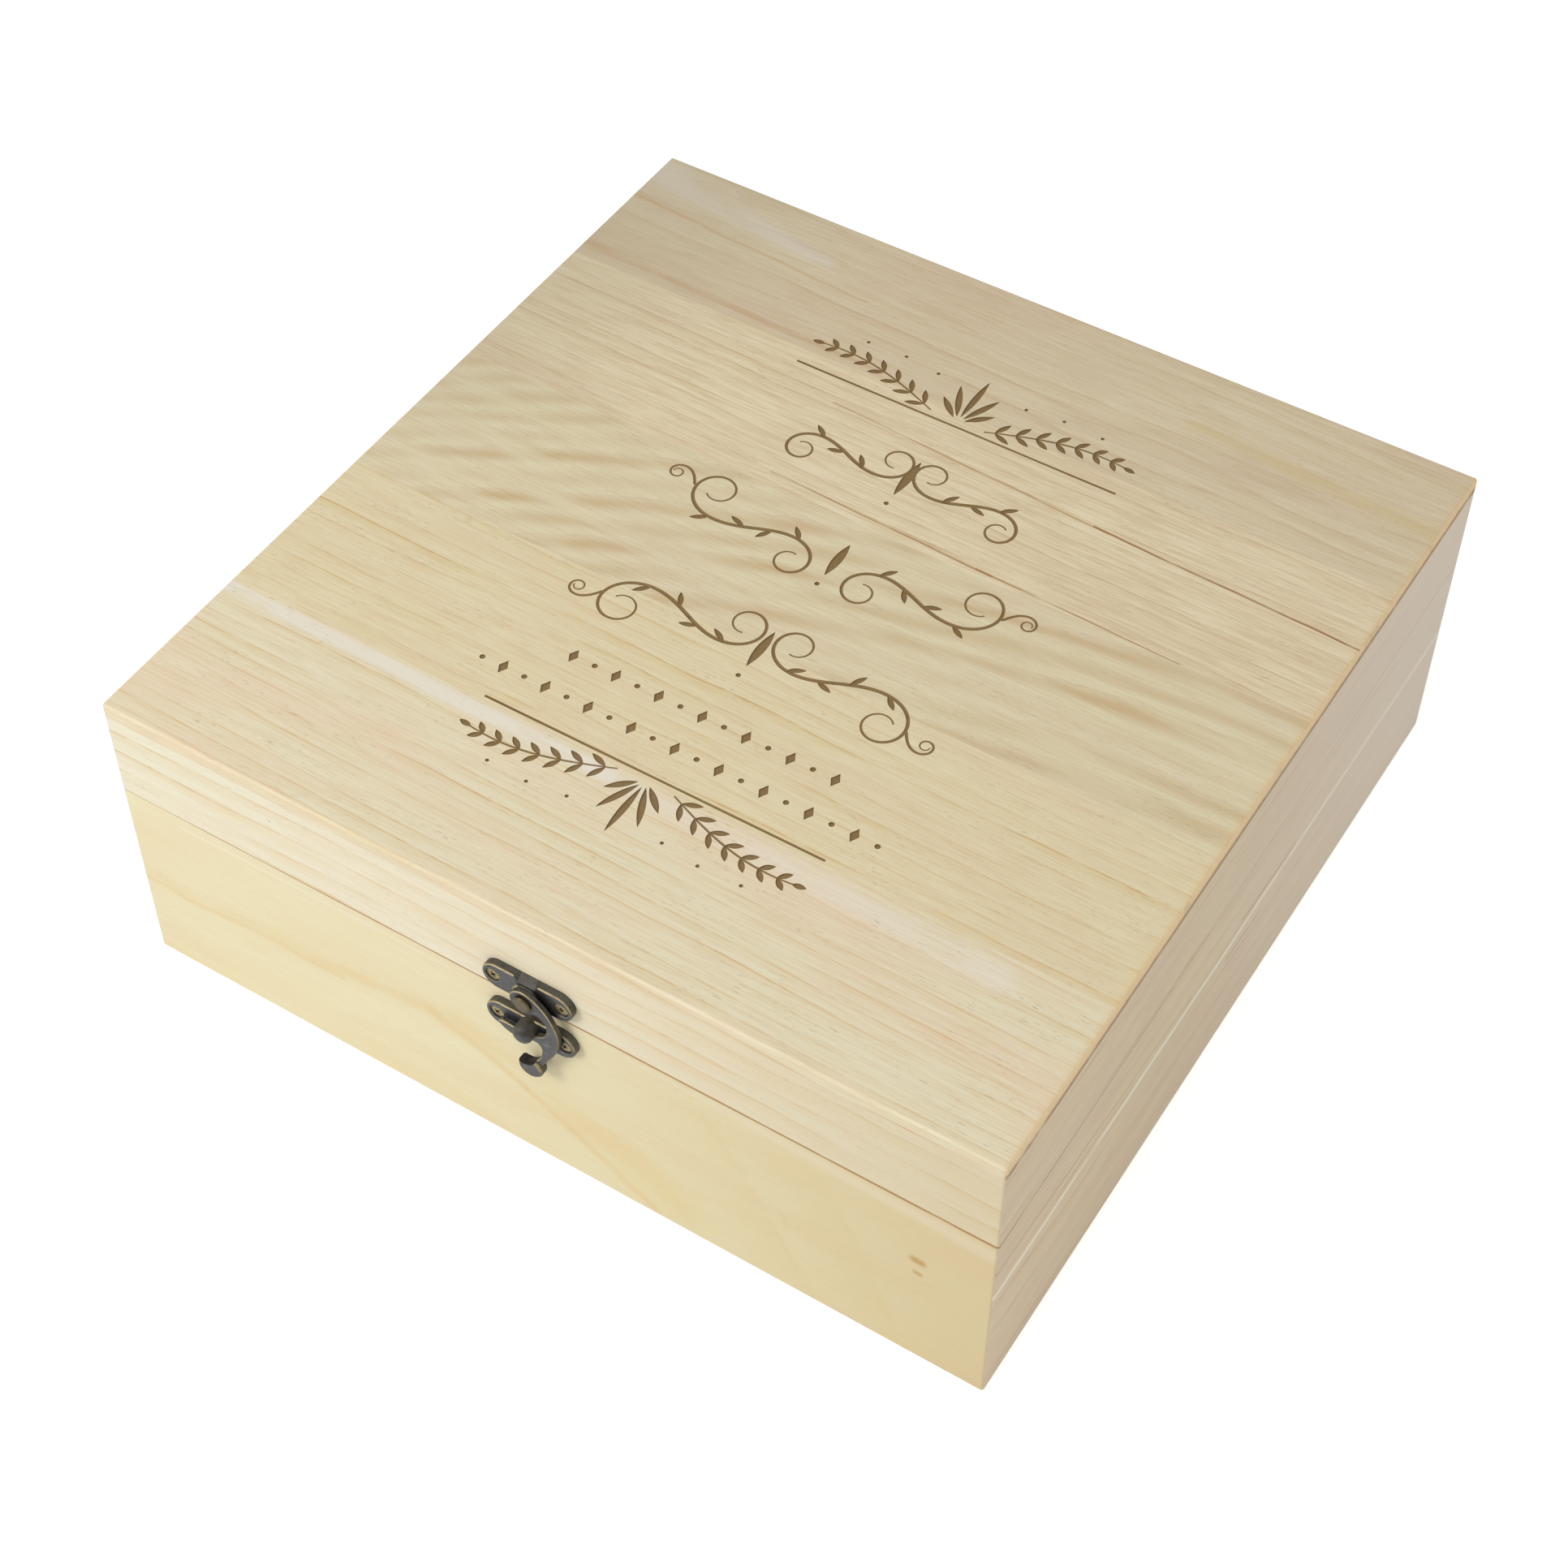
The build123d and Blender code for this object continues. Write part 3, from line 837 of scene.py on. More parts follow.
PLATE_BRONZE = replace(
    HOOK_BRONZE,
    spots=(
        # Painted shade on the boss's scoop, which faces up into the light; no brass there.
        Spot((0.0, PIVOT_MM + 6.6), 4.1, 0.2, grain=1.0, blur=0.6),
        Spot((0.0, PIVOT_MM - 12.1), 3.15, 0.2, blur=0.4),
        # Painted shadow of the hook on the pivot plate, right of the hook's head.
        Spot((6.0, PIVOT_MM + 1.7), 5.2, 0.95, grain=1.0, blur=1.6),
        # Painted shadow of the hook on the catch plate, right of the hook's arm.
        Spot((6.2, PIVOT_MM - 14.5), 3.4, 0.7, grain=1.0, blur=2.2),
        *SCREW_SINK_SHADOWS,
    ),
)
LEAF_BRONZE = replace(HOOK_BRONZE, outward=1, spots=())
SCREW_BRASS = BrassFinish(shade(140, 126, 90), shade(100, 86, 56))
# Painted shade: the dark brass of the screws' cross recesses.
RECESS_SHADE_BRASS = BrassFinish(shade(62, 52, 36), shade(42, 36, 26), 0.6)
RIVET_BRASS = BrassFinish(shade(90, 79, 56), shade(74, 64, 44), 0.42)


def new_piece(name: str, mesh: bpy.types.Mesh) -> Piece:
    """Put a mesh into the scene as an object at the origin.

    Args:
        name: Name of the piece.
        mesh: Its mesh, with its place in it.

    Returns:
        The object.
    """
    piece = bpy.data.objects.new(name, mesh)
    bpy.context.scene.collection.objects.link(piece)
    return piece


def mesh_from(build: BMesh, name: str) -> bpy.types.Mesh:
    """Write a bmesh to a new mesh and free it.

    Args:
        build: The bmesh.
        name: Name of the mesh.

    Returns:
        The mesh.
    """
    mesh = bpy.data.meshes.new(name)
    build.to_mesh(mesh)
    build.free()
    return mesh


def carve(piece: Piece, cutters: Iterable[Piece]) -> None:
    """Cut solids out of a piece.

    The new faces keep the number of their material in the cutter.

    Args:
        piece: The piece that is cut.
        cutters: The solids, each closed and clear of itself.
    """
    for cutter in cutters:
        modifier = piece.modifiers.new("cut", "BOOLEAN")
        modifier.operation = "DIFFERENCE"
        modifier.solver = "MANIFOLD"
        modifier.object = cutter
    graph = bpy.context.evaluated_depsgraph_get()
    mesh = bpy.data.meshes.new_from_object(piece.evaluated_get(graph))
    piece.modifiers.clear()
    piece.data = mesh


def drop(pieces: Iterable[Piece]) -> None:
    """Delete helper objects that have done their work."""
    for piece in pieces:
        bpy.data.objects.remove(piece)


def solid_copy(node: Piece, name: str) -> Piece:
    """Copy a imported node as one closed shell, with its flat sides in one face each.

    Args:
        node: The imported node.
        name: Name of the copy.

    Returns:
        The copy.
    """
    build = bmesh.new()
    build.from_mesh(node.data)
    bmesh.ops.remove_doubles(build, verts=build.verts, dist=MERGE_WITHIN)
    bmesh.ops.dissolve_limit(build, angle_limit=math.radians(0.5), verts=build.verts, edges=build.edges)
    for face in build.faces:
        face.smooth = False
        face.material_index = 0
    mesh = mesh_from(build, name)
    if "custom_normal" in mesh.attributes:
        mesh.attributes.remove(mesh.attributes["custom_normal"])
    return new_piece(name, mesh)


def paint(piece: Piece, *materials: Material) -> None:
    """Give a piece these materials in place of its own.

    Clearing sets every face to the first material, so only a mesh that has some is cleared.

    Args:
        piece: The piece.
        *materials: The materials, by their number in its faces.
    """
    if len(piece.data.materials):
        piece.data.materials.clear()
    for material in materials:
        piece.data.materials.append(material)
    log.info("%s: %s", piece.name, ", ".join(material.name for material in materials))


def stand_for(piece: Piece, node: str, body: str) -> None:
    """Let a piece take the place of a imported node.

    Args:
        piece: The new piece.
        node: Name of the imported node.
        body: Body that it moves with.
    """
    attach(piece, body)
    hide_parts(node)
    log.info("%s stands for %s: %d faces", piece.name, node, len(piece.data.polygons))


@dataclass
class Boards:
    """The carcass: every board with the finish of its own cut.

    Attributes:
        finishes: Finish of each board by the name of its node.
    """

    finishes: dict[str, PineFinish] = field(
        default_factory=lambda: {
            "base_front_panel": FRONT_BASE,
            "base_back_panel": BACK_BASE,
            "base_bottom_panel": BOTTOM,
            "base_right_lower_board": SIDE,
            "base_right_upper_board": SIDE,
            "base_left_lower_board": LEFT_SIDE,
            "base_left_upper_board": LEFT_SIDE,
            "lid_front_rail": FRONT_LID,
            "lid_back_rail": BACK,
            "lid_right_rail": SIDE,
            "lid_left_rail": LEFT_SIDE,
        }
    )

    def dress(self, nodes: dict[str, Piece]) -> None:
        """Give the boards of the base and the lid frame their wood.

        Args:
            nodes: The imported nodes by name.
        """
        for name, finish in self.finishes.items():
            paint(nodes[name], finish.make(f"{name}_pine"))


class Penwork:
    """Draws the cutters of the lid's ornament. All places are board places in millimetres."""

    groove_mm = 0.35
    floor_share = 0.9
    pen_flatness = 0.6

    def __init__(self, centre: float, surface: float) -> None:
        """Start an empty ornament.

        Args:
            centre: Place along the lid of the line that it is mirrored about.
            surface: Height of the lid's surface.
        """
        self.centre = centre
        self.surface = surface
        self.layers: dict[str, BMesh] = {}

    def layer(self, name: str) -> BMesh:
        """Find the bmesh of one layer, whose cutters keep clear of each other.

        Args:
            name: Name of the layer.

        Returns:
            The bmesh that gathers its cutters.
        """
        if name not in self.layers:
            self.layers[name] = bmesh.new()
        return self.layers[name]

    def to_frame(self, x: float, y: float, z: float = 0.0) -> Vector:
        """A board place on the lid's surface as a point of the row frame."""
        return Vector((x - BOX_WIDTH_MM / 2, y - BOX_DEPTH_MM / 2, self.surface + z)) * MM

    def hollow(self, layer: str, outline: list[Point]) -> None:
        """Sink an outline into the wood with sloping walls.

        Args:
            layer: Layer to draw on.
            outline: Corners of the outline, in turn.
        """
        build = self.layer(layer)
        middle = (sum(x for x, _ in outline) / len(outline), sum(y for _, y in outline) / len(outline))
        corners = [build.verts.new(self.to_frame(x, y, self.groove_mm)) for x, y in outline]
        face = build.faces.new(corners)
        made = bmesh.ops.extrude_face_region(build, geom=[face])["geom"]
        floor = [v for v in made if isinstance(v, bmesh.types.BMVert)]
        for vertex in floor:
            vertex.co.z = (self.surface - self.groove_mm) * MM
        pivot = self.to_frame(*middle)
        shrink = (self.floor_share, self.floor_share, 1.0)
        bmesh.ops.scale(build, vec=shrink, space=Matrix.Translation(-pivot), verts=floor)

    def leaf(self, layer: str, x: float, y: float, heading: float, length: float, width: float) -> None:
        """Sink a lens-shaped leaf.

        Args:
            layer: Layer to draw on.
            x: Place of its root along the lid.
            y: Place of its root across the lid.
            heading: Its heading, in degrees.
            length: Its length.
            width: Its width.
        """
        turn = math.radians(heading)
        outline = []
        for side in (1, -1):
            for step in range(9):
                share = step / 9 if side > 0 else 1 - step / 9
                out = side * width / 2 * (1 - (2 * share - 1) ** 2)
                run = share * length
                outline.append(
                    (
                        x + run * math.cos(turn) - out * math.sin(turn),
                        y + run * math.sin(turn) + out * math.cos(turn),
                    )
                )
        self.hollow(layer, outline)

    def lozenge(self, layer: str, x: float, y: float, half_width: float, half_height: float) -> None:
        """An upright lozenge."""
        outline = [(x - half_width, y), (x, y - half_height), (x + half_width, y), (x, y + half_height)]
        self.hollow(layer, outline)

    def bead(self, layer: str, x: float, y: float, radius: float, corners: int = 12) -> None:
        """A round dot."""
        turns = [2 * math.pi * step / corners for step in range(corners)]
        self.hollow(layer, [(x + radius * math.cos(t), y + radius * math.sin(t)) for t in turns])

    def stroke(self, layer: str, points: list[Point], thin: float, thick: float) -> None:
        """A pen stroke that swells in its middle.

        Args:
            layer: Layer to draw on.
            points: Its centre line.
            thin: Its width at the ends.
            thick: Its width in the middle.
        """
        curve = bpy.data.curves.new("stroke", "CURVE")
        curve.dimensions = "3D"
        curve.bevel_depth = MM
        curve.bevel_resolution = 1
        curve.use_fill_caps = True
        spline = curve.splines.new("POLY")
        spline.points.add(len(points) - 1)
        for place, (point, (x, y)) in enumerate(zip(spline.points, points)):
            share = place / (len(points) - 1)
            width = thin + (thick - thin) * math.sin(math.pi * share)
            point.co = (*self.to_frame(x, y), 1.0)
            point.radius = width / 2
        holder = new_piece("stroke", curve)
        mesh = bpy.data.meshes.new_from_object(holder)
        drop([holder])
        flatten = Matrix.Translation((0, 0, self.surface * MM)) @ Matrix.Diagonal((1, 1, self.pen_flatness, 1))
        mesh.transform(flatten @ Matrix.Translation((0, 0, -self.surface * MM)))
        self.layer(layer).from_mesh(mesh)

    def mirrored(self, points: list[Point]) -> list[Point]:
        """The same line on the other side of the centre."""
        return [(2 * self.centre - x, y) for x, y in points]

    @staticmethod
    def scroll(middle: Point, lean: float, reaches: Point, curls: Point, steps: int = 48) -> list[Point]:
        """A line that coils more and more towards both ends.

        Args:
            middle: Its middle point.
            lean: Its heading there, in degrees.
            reaches: Length of its two halves, outward and inward.
            curls: Turn of its two halves from the middle to the end, in degrees.
            steps: Points of each half.

        Returns:
            The points of the line.
        """
        halves = []
        for sign, reach, curl in zip((1, -1), reaches, curls):
            x, y = middle
            half = []
            for step in range(steps):
                share = (step + 0.5) / steps
                heading = math.radians(lean + curl * share * share)
                x += sign * math.cos(heading) * reach / steps
                y += sign * math.sin(heading) * reach / steps
                half.append((x, y))
            halves.append(half)
        return halves[1][::-1] + [middle] + halves[0]

    def cutters(self) -> list[Piece]:
        """Turn the layers into closed solids, whose cuts take a piece's second material.

        Returns:
            One object per layer.
        """
        made = []
        for name, build in self.layers.items():
            bmesh.ops.remove_doubles(build, verts=build.verts, dist=MERGE_WITHIN)
            bmesh.ops.recalc_face_normals(build, faces=build.faces)
            for face in build.faces:
                face.material_index = 1
            made.append(new_piece(f"cutter_{name}", mesh_from(build, name)))
        self.layers = {}
        return made


@dataclass(frozen=True)
class Tier:
    """One mirrored pair of leafy scrolls.

    Attributes:
        middle: Middle point of the right scroll.
        lean: Its heading there, in degrees.
        reaches: Length of its outer and its inner half.
        curls: Turn of its halves, in degrees.
        leaves: Places of its leaves along it, from 0 to 1, each with its side.
        bud: Foot of the leaf that stands in the middle.
        bud_length: Length of that leaf.
        tendril: Foot of the outer tendril, where there is one.
        tendril_lean: Its heading there, in degrees.
    """

    middle: Point
    lean: float
    reaches: Point
    curls: Point
    leaves: tuple[tuple[float, int], ...]
    bud: Point
    bud_length: float
    tendril: Point | None = None
    tendril_lean: float = 0.0


@dataclass
class CarvedLid:
    """The five boards of the lid's top, with the ornament cut into them.

    Attributes:
        centre: Place of the ornament's mirror line.
        crown_rule: Place of the upper rule.
        foot_rule: Place of the lower rule.
        rule_reach: Half the length of the rules.
        rule_width: Width of the rules.
        leaf_lean: Angle of a laurel leaf to its branch, in degrees.
        leaf_width: Width of a laurel leaf.
        fan_width: Width of a leaf of the fan.
        leaflet: Angle to the scroll, length and width of a scroll's leaf.
        tiers: The scrolls between the rules.
    """

    centre: float = 140.0
    crown_rule: float = 218.0
    foot_rule: float = 57.7
    rule_reach: float = 54.0
    rule_width: float = 0.8
    leaf_lean: float = 42
    leaf_width: float = 1.9
    fan_width: float = 2.2
    leaflet: tuple[float, float, float] = (38, 6.0, 1.8)
    tiers: tuple[Tier, ...] = (
        Tier(
            (160.0, 191.0), 24.0, (42.0, 44.0), (-430.0, -400.0),
            ((0.42, 1), (0.52, -1), (0.62, 1)), (140.0, 183.0), 17.0,
        ),
        Tier(
            (166.0, 151.0), -22.0, (58.0, 46.0), (430.0, 400.0),
            ((0.36, 1), (0.45, -1), (0.54, 1), (0.63, -1)), (140.0, 145.0), 15.0,
            (191.0, 157.0), 58.0,
        ),
        Tier(
            (164.0, 112.0), 24.0, (60.0, 50.0), (-440.0, -400.0),
            ((0.36, 1), (0.45, -1), (0.54, 1), (0.63, -1)), (140.0, 104.0), 16.0,
            (189.3, 107.0), -58.0,
        ),
    )

    def laurel(self, pen: Penwork, rule: float, up: int) -> None:
        """Draw a rule with a fan of leaves on its middle and a laurel branch on each side.

        Args:
            pen: The ornament.
            rule: Place of the rule across the lid.
            up: 1 where the leaves stand behind the rule, and -1 where they stand before it.
        """
        pen.stroke(
            f"rule_{up}",
            [(self.centre - self.rule_reach, rule), (self.centre + self.rule_reach, rule)],
            self.rule_width,
            self.rule_width,
        )
        steps, leaves = 30, 8
        for side in (1, -1):
            branch = []
            for step in range(steps + 1):
                share = step / steps
                rise = 2.5 + 9.0 * math.sin(math.pi * 0.62 * share)
                branch.append((self.centre + side * (9 + 43 * share), rule + up * rise))
            pen.stroke(f"branch_{up}_{side}", branch, 0.5, 0.7)
            for count in range(leaves):
                share = 0.08 + 0.92 * count / (leaves - 1)
                place = min(int(share * steps), steps - 1)
                (x, y), (next_x, next_y) = branch[place], branch[place + 1]
                heading = math.degrees(math.atan2(next_y - y, next_x - x))
                length = 6.6 - 2.2 * share
                if count == leaves - 1:
                    pen.leaf(f"leaf_{up}_{side}_tip", x, y, heading, length, self.leaf_width)
                    continue
                for hand, lean in (("left", self.leaf_lean), ("right", -self.leaf_lean)):
                    pen.leaf(f"leaf_{up}_{side}_{hand}", x, y, heading + lean, length, self.leaf_width)
            for x, y in ((15.0, 17.5), (27.0, 19.0), (40.0, 18.5)):
                pen.bead(f"bead_{up}", self.centre + side * x, rule + up * y, 0.6)
        for heading, length in ((90, 19.0), (66, 14.5), (114, 14.5), (43, 10.0), (137, 10.0)):
            turn = math.radians(heading)
            x = self.centre + 2.2 * math.cos(turn)
            y = rule + up * (1.6 + 2.2 * math.sin(turn))
            pen.leaf(f"fan_{up}", x, y, up * heading, length, self.fan_width)

    def scrolls(self, pen: Penwork) -> None:
        """Draw the tiers of leafy scrolls, each mirrored about the centre.

        Args:
            pen: The ornament.
        """
        lean, length, width = self.leaflet
        for number, tier in enumerate(self.tiers):
            right = pen.scroll(tier.middle, tier.lean, tier.reaches, tier.curls)
            for side, line in ((1, right), (-1, pen.mirrored(right))):
                pen.stroke(f"scroll_{number}_{side}", line, 0.5, 1.25)
                for share, hand in tier.leaves:
                    place = int(share * (len(line) - 1))
                    (x, y), (next_x, next_y) = line[place], line[place + 1]
                    heading = math.degrees(math.atan2(next_y - y, next_x - x))
                    pen.leaf(f"leaflets_{number}", x, y, heading + lean * hand * side, length, width)
            if tier.tendril:
                hand = math.copysign(1, tier.tendril_lean)
                tendril = pen.scroll(tier.tendril, tier.tendril_lean, (24.0, 0.5), (-520.0 * hand, 0.0))
                pen.stroke(f"tendril_{number}_right", tendril, 0.4, 0.9)
                pen.stroke(f"tendril_{number}_left", pen.mirrored(tendril), 0.4, 0.9)
            pen.leaf("buds", *tier.bud, 90.0, tier.bud_length, 3.0)
            pen.bead("bud_beads", tier.bud[0], tier.bud[1] - 3.5, 0.8)

    def rows(self, pen: Penwork) -> None:
        """Draw two rows of lozenges and dots in turn.

        Args:
            pen: The ornament.
        """
        for row, reach in ((82.5, 6), (69.0, 9)):
            for count in range(-reach, reach + 1):
                x = self.centre + 7.0 * count
                if count % 2:
                    pen.bead("row_beads", x, row, 0.9)
                else:
                    pen.lozenge("row_lozenges", x, row, 1.5, 2.7)

    def build(self, nodes: dict[str, Piece]) -> None:
        """Copy each top board, carve it and dress it.

        Args:
            nodes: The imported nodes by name.
        """
        pen = Penwork(self.centre, BOX_HEIGHT_MM)
        self.laurel(pen, self.crown_rule, 1)
        self.scrolls(pen)
        self.rows(pen)
        self.laurel(pen, self.foot_rule, -1)
        cutters = pen.cutters()
        for number, finish in enumerate(TOP, 1):
            node = nodes[f"lid_top_board_{number}"]
            board = solid_copy(node, f"carved_top_board_{number}")
            finish = replace(finish, ends=TOP_ENDS)
            burnt = BurntFinish(finish, BROWN)
            paint(board, finish.make(f"top_{number}_pine"), burnt.make(f"top_{number}_burnt"))
            carve(board, cutters)
            stand_for(board, node.name, "lid")
        drop(cutters)


@dataclass
class ScrewPair:
    """Two cross-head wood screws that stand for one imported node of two.

    Attributes:
        node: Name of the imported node.
        body: Body that the screws ride on.
        outward: -1 where the heads look along -Y, and 1 where they look along +Y.
        turns: Angle of the cross in each head, in degrees.
        crown: Height of the head's crown.
        pitch: Pitch of the thread.
        shank_share: Radius of the shank over that of the head.
        root_share: Radius at the root of the thread over that of the shank.
        sides: Count of the flats round a screw.
        arm: Size of an arm of the cross over the radius of the head.
        arm_taper: Size of the arm's lower end over that of its upper end.
    """

    node: str
    body: str
    outward: int
    turns: Point
    crown: float = 0.12 * MM
    pitch: float = 1.1 * MM
    shank_share: float = 0.52
    root_share: float = 0.72
    sides: int = 40
    arm: tuple[float, float, float] = (1.3, 0.3, 1.1)
    arm_taper: tuple[float, float, float] = (0.35, 0.6, 1.0)

    @staticmethod
    def brass() -> list[Material]:
        """The materials of a screw and of the cross in its head, which is darkened as painted shade."""
        return [bpy.data.materials[name] for name in ("screw_brass", "recess_shade_brass")]

    def profile(self, head: float, length: float) -> list[Vector]:
        """Half section of a screw, from the crown of its head to its point.

        Args:
            head: Radius of the head.
            length: Length of the screw.

        Returns:
            Points with the radius along X and the height over the point along Z.
        """
        shank = head * self.shank_share
        neck = length - (head - shank)
        points = [(0.0, length), (head * 0.6, length - self.crown * 0.3), (head, length - self.crown)]
        points += [(shank, neck), (shank, neck - self.pitch)]
        depth = neck - 2 * self.pitch
        while depth > 2.5 * self.pitch:
            points += [(shank * self.root_share, depth + 0.35 * self.pitch), (shank, depth)]
            depth -= self.pitch
        points += [(shank * 0.6, self.pitch), (0.0, 0.0)]
        return [Vector((radius, 0.0, height)) for radius, height in points]

    def one(self, head: float, length: float, turn: float) -> Piece:
        """Turn a screw along Z with its point at the origin, and cut the cross into its head.

        Args:
            head: Radius of the head.
            length: Length of the screw.
            turn: Angle of the cross, in degrees.

        Returns:
            The screw.
        """
        build = bmesh.new()
        line = [build.verts.new(point) for point in self.profile(head, length)]
        edges = [build.edges.new(pair) for pair in zip(line, line[1:])]
        bmesh.ops.spin(
            build, geom=line + edges, axis=(0, 0, 1), cent=(0, 0, 0),
            angle=2 * math.pi, steps=self.sides, use_merge=True,
        )
        bmesh.ops.remove_doubles(build, verts=build.verts, dist=MERGE_WITHIN)
        bmesh.ops.recalc_face_normals(build, faces=build.faces)
        screw = new_piece("screw", mesh_from(build, "screw"))
        paint(screw, *self.brass())
        arms = []
        for quarter in (0, 90):
            arm = bmesh.new()
            bmesh.ops.create_cube(arm, size=1.0)
            bmesh.ops.scale(arm, vec=[head * share for share in self.arm], verts=arm.verts)
            low = [v for v in arm.verts if v.co.z < 0]
            bmesh.ops.scale(arm, vec=self.arm_taper, verts=low)
            around = Matrix.Rotation(math.radians(turn + quarter), 4, "Z")
            bmesh.ops.transform(arm, matrix=Matrix.Translation((0, 0, length)) @ around, verts=arm.verts)
            for side in arm.faces:
                side.material_index = 1
            arms.append(new_piece("arm", mesh_from(arm, "arm")))
        carve(screw, arms)
        drop(arms)
        return screw

    def build(self) -> None:
        """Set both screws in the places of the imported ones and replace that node."""
        low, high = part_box(self.node)
        head = (high.z - low.z) / 2
        near, far = (low.y, high.y) if self.outward < 0 else (high.y, low.y)
        length = abs(far - near)
        whole = bmesh.new()
        for x, turn in zip((low.x + head, high.x - head), self.turns):
            screw = self.one(head, length, turn)
            lay = Matrix.Rotation(math.radians(90 if self.outward < 0 else -90), 4, "X")
            screw.data.transform(Matrix.Translation((x, far, (low.z + high.z) / 2)) @ lay)
            whole.from_mesh(screw.data)
            drop([screw])
        piece = new_piece(f"cross_head_{self.node}", mesh_from(whole, self.node))
        paint(piece, *self.brass())
        stand_for(piece, self.node, self.body)


@dataclass
class Hardware:
    """The clasp and the hinges.

    Attributes:
        castings: The clasp's castings, each with the body that it moves with.
        worn_round: Radius of the castings' tumbled edges.
        hinges: Count of the hinges.
    """

    castings: dict[str, str] = field(
        default_factory=lambda: {
            "clasp_pivot_plate": "lid",
            "clasp_catch_plate": "base",
            "clasp_hook": "hook",
        }
    )
    worn_round: float = 0.17 * MM
    hinges: int = 2

    def dress(self, nodes: dict[str, Piece]) -> None:
        """Give every piece of metal its finish and cut the screws' crosses.

        Args:
            nodes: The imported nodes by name.
        """
        plate_bronze = PLATE_BRONZE.make("plate_bronze")
        hook_bronze = HOOK_BRONZE.make("hook_bronze")
        leaf_bronze = LEAF_BRONZE.make("leaf_bronze")
        rivet = RIVET_BRASS.make("rivet_brass")
        SCREW_BRASS.make("screw_brass")
        RECESS_SHADE_BRASS.make("recess_shade_brass")
        for name, body in self.castings.items():
            casting = self.tumbled(nodes[name])
            paint(casting, hook_bronze if body == "hook" else plate_bronze)
            stand_for(casting, name, body)
        paint(nodes["clasp_rivet"], rivet)
        ScrewPair("clasp_pivot_plate_screws", "lid", -1, (38.0, 12.0)).build()
        ScrewPair("clasp_catch_plate_screws", "base", -1, (52.0, 71.0)).build()
        for number in range(1, self.hinges + 1):
            for part in ("lid_leaf", "base_leaf", "pin"):
                paint(nodes[f"hinge_{number}_{part}"], leaf_bronze)
            ScrewPair(f"hinge_{number}_lid_screws", "lid", 1, (20.0 * number, 64.0)).build()
            ScrewPair(f"hinge_{number}_base_screws", "base", 1, (33.0, 11.0 * number)).build()

    def tumbled(self, node: Piece) -> Piece:
        """Copy a casting with every edge slightly rounded.

        Args:
            node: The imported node.

        Returns:
            The copy.
        """
        casting = solid_copy(node, f"tumbled_{node.name}")
        for face in casting.data.polygons:
            face.use_smooth = True
        bevel = casting.modifiers.new("tumbled", "BEVEL")
        bevel.width = self.worn_round
        bevel.segments = 2
        bevel.limit_method = "ANGLE"
        bevel.angle_limit = math.radians(25)
        bevel.harden_normals = True
        return casting


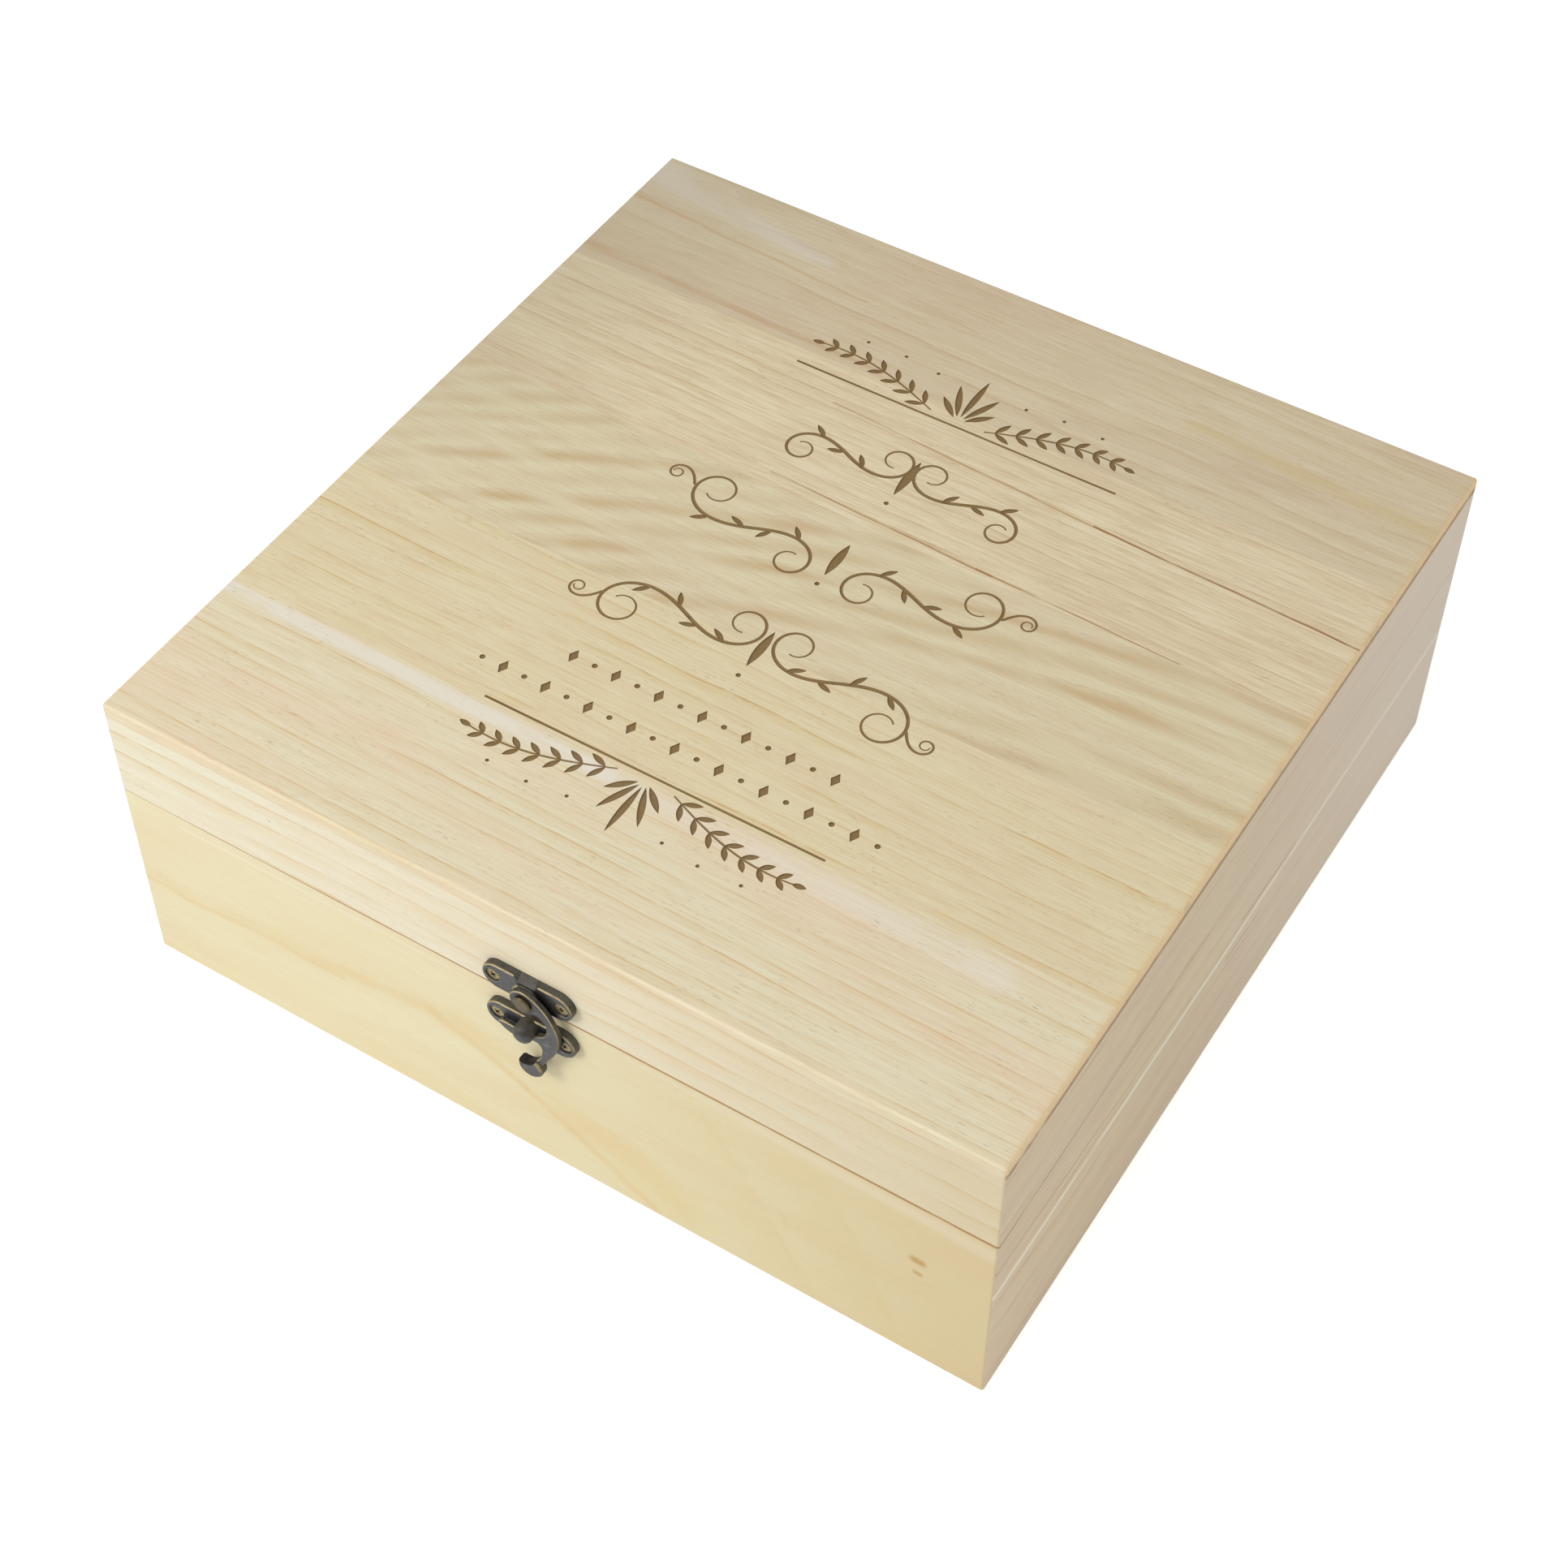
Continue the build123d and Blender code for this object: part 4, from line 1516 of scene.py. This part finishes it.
@dataclass
class Studio:
    """Floor, soft light and camera.

    Attributes:
        eye: Place of the camera.
        right: Direction to the right of the picture.
        down: Direction to the foot of the picture.
        forward: Direction of the view.
        lens: Focal length for a 36 mm sensor.
        ambient: Strength of the sky on the object.
        glow: Strength of the floor's own light where it is seen.
        floor_gap: How far the floor lies under the box.
        floor_reach: Half the floor's side.
        floor_colour: Colour of the floor in the light that it throws back.
    """

    eye: Vector = field(default_factory=lambda: Vector((0.29508, -0.49256, 0.69793)))
    right: Vector = field(default_factory=lambda: Vector((0.84817, 0.52971, 0.00370)))
    down: Vector = field(default_factory=lambda: Vector((0.40584, -0.64531, -0.64720)))
    forward: Vector = field(default_factory=lambda: Vector((-0.34044, 0.55044, -0.76231)))
    lens: float = 67.43
    ambient: float = 0.5
    glow: float = 0.45
    floor_gap: float = 0.2 * MM
    floor_reach: float = 4.0
    floor_colour: Colour = (0.8, 0.8, 0.8)

    def camera(self) -> None:
        """Set the camera and its view."""
        data = bpy.data.cameras.new("camera")
        data.sensor_width = 36.0
        data.lens = self.lens
        data.clip_start, data.clip_end = 0.05, 50.0
        camera = bpy.data.objects.new("camera", data)
        rows = zip(self.right, -self.down, -self.forward)
        camera.matrix_world = Matrix.Translation(self.eye) @ Matrix([list(row) for row in rows]).to_4x4()
        bpy.context.scene.collection.objects.link(camera)
        bpy.context.scene.camera = camera

    @staticmethod
    def seen(sheet: NodeSheet) -> Socket:
        """Find the rays that show the background itself, straight or mirrored.

        Args:
            sheet: Nodes of the sky or of the floor.

        Returns:
            1 for those rays and 0 for the others.
        """
        rays = sheet.node("ShaderNodeLightPath", {}).outputs
        total = rays["Is Camera Ray"]
        for name in ("Is Glossy Ray", "Is Transmission Ray"):
            both = {0: total, 1: rays[name]}
            total = sheet.node("ShaderNodeMath", both, operation="ADD", use_clamp=True).outputs[0]
        return total

    def sky(self) -> None:
        """An even sky, white to the eye."""
        sheet = NodeSheet("sky", sky=True)
        strengths = {"Value": self.seen(sheet), "To Min": self.ambient, "To Max": 1.0}
        strength = sheet.node("ShaderNodeMapRange", strengths).outputs[0]
        light = sheet.node("ShaderNodeBackground", {"Color": WHITE, "Strength": strength}).outputs[0]
        bpy.context.scene.world = sheet.finish(light, "World")

    def floor(self) -> None:
        """A plain pale floor just under the box, which keeps its soft shadow."""
        build = bmesh.new()
        bmesh.ops.create_grid(build, x_segments=1, y_segments=1, size=self.floor_reach)
        bmesh.ops.translate(build, vec=(0, 0, -self.floor_gap), verts=build.verts)
        floor = new_piece("floor", mesh_from(build, "floor"))
        sheet = NodeSheet("floor")
        seen = self.seen(sheet)
        diffuse = sheet.node("ShaderNodeBsdfDiffuse", {"Color": sheet.blend(seen, self.floor_colour, WHITE)})
        glow = sheet.node("ShaderNodeEmission", {"Color": WHITE, "Strength": sheet.times(seen, self.glow)})
        both = sheet.node("ShaderNodeAddShader", {0: diffuse.outputs[0], 1: glow.outputs[0]})
        floor.data.materials.append(sheet.finish(both.outputs[0]))

    def lamp(self, name: str, place: Vector, size: float, power: float) -> None:
        """A square soft box that looks at the box.

        Args:
            name: Name of the lamp.
            place: Its place.
            size: Its side.
            power: Its power in watts.
        """
        data = bpy.data.lights.new(name, "AREA")
        data.size = size
        data.energy = power
        lamp = bpy.data.objects.new(name, data)
        lamp.location = place
        lamp.rotation_mode = "QUATERNION"
        lamp.rotation_quaternion = (Vector((0, 0, 0.05)) - place).to_track_quat("-Z", "Y")
        bpy.context.scene.collection.objects.link(lamp)

    def build(self) -> None:
        """Set up the whole studio."""
        scene = bpy.context.scene
        scene.view_settings.view_transform = "Standard"
        self.camera()
        self.sky()
        self.floor()
        self.lamp("front_box", Vector((-0.6, -0.9, 0.75)), 0.45, 6.4)
        self.lamp("top_box", Vector((0.3, -0.6, 1.4)), 1.0, 5.6)
        log.info("studio: lens %.2f mm", self.lens)


def main() -> None:
    """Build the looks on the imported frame."""
    logging.basicConfig(level=logging.INFO, format="%(name)s: %(message)s")
    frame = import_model()
    nodes = frame["nodes"]
    Boards().dress(nodes)
    CarvedLid().build(nodes)
    Hardware().dress(nodes)
    Studio().build()


if __name__ == "__main__":
    main()
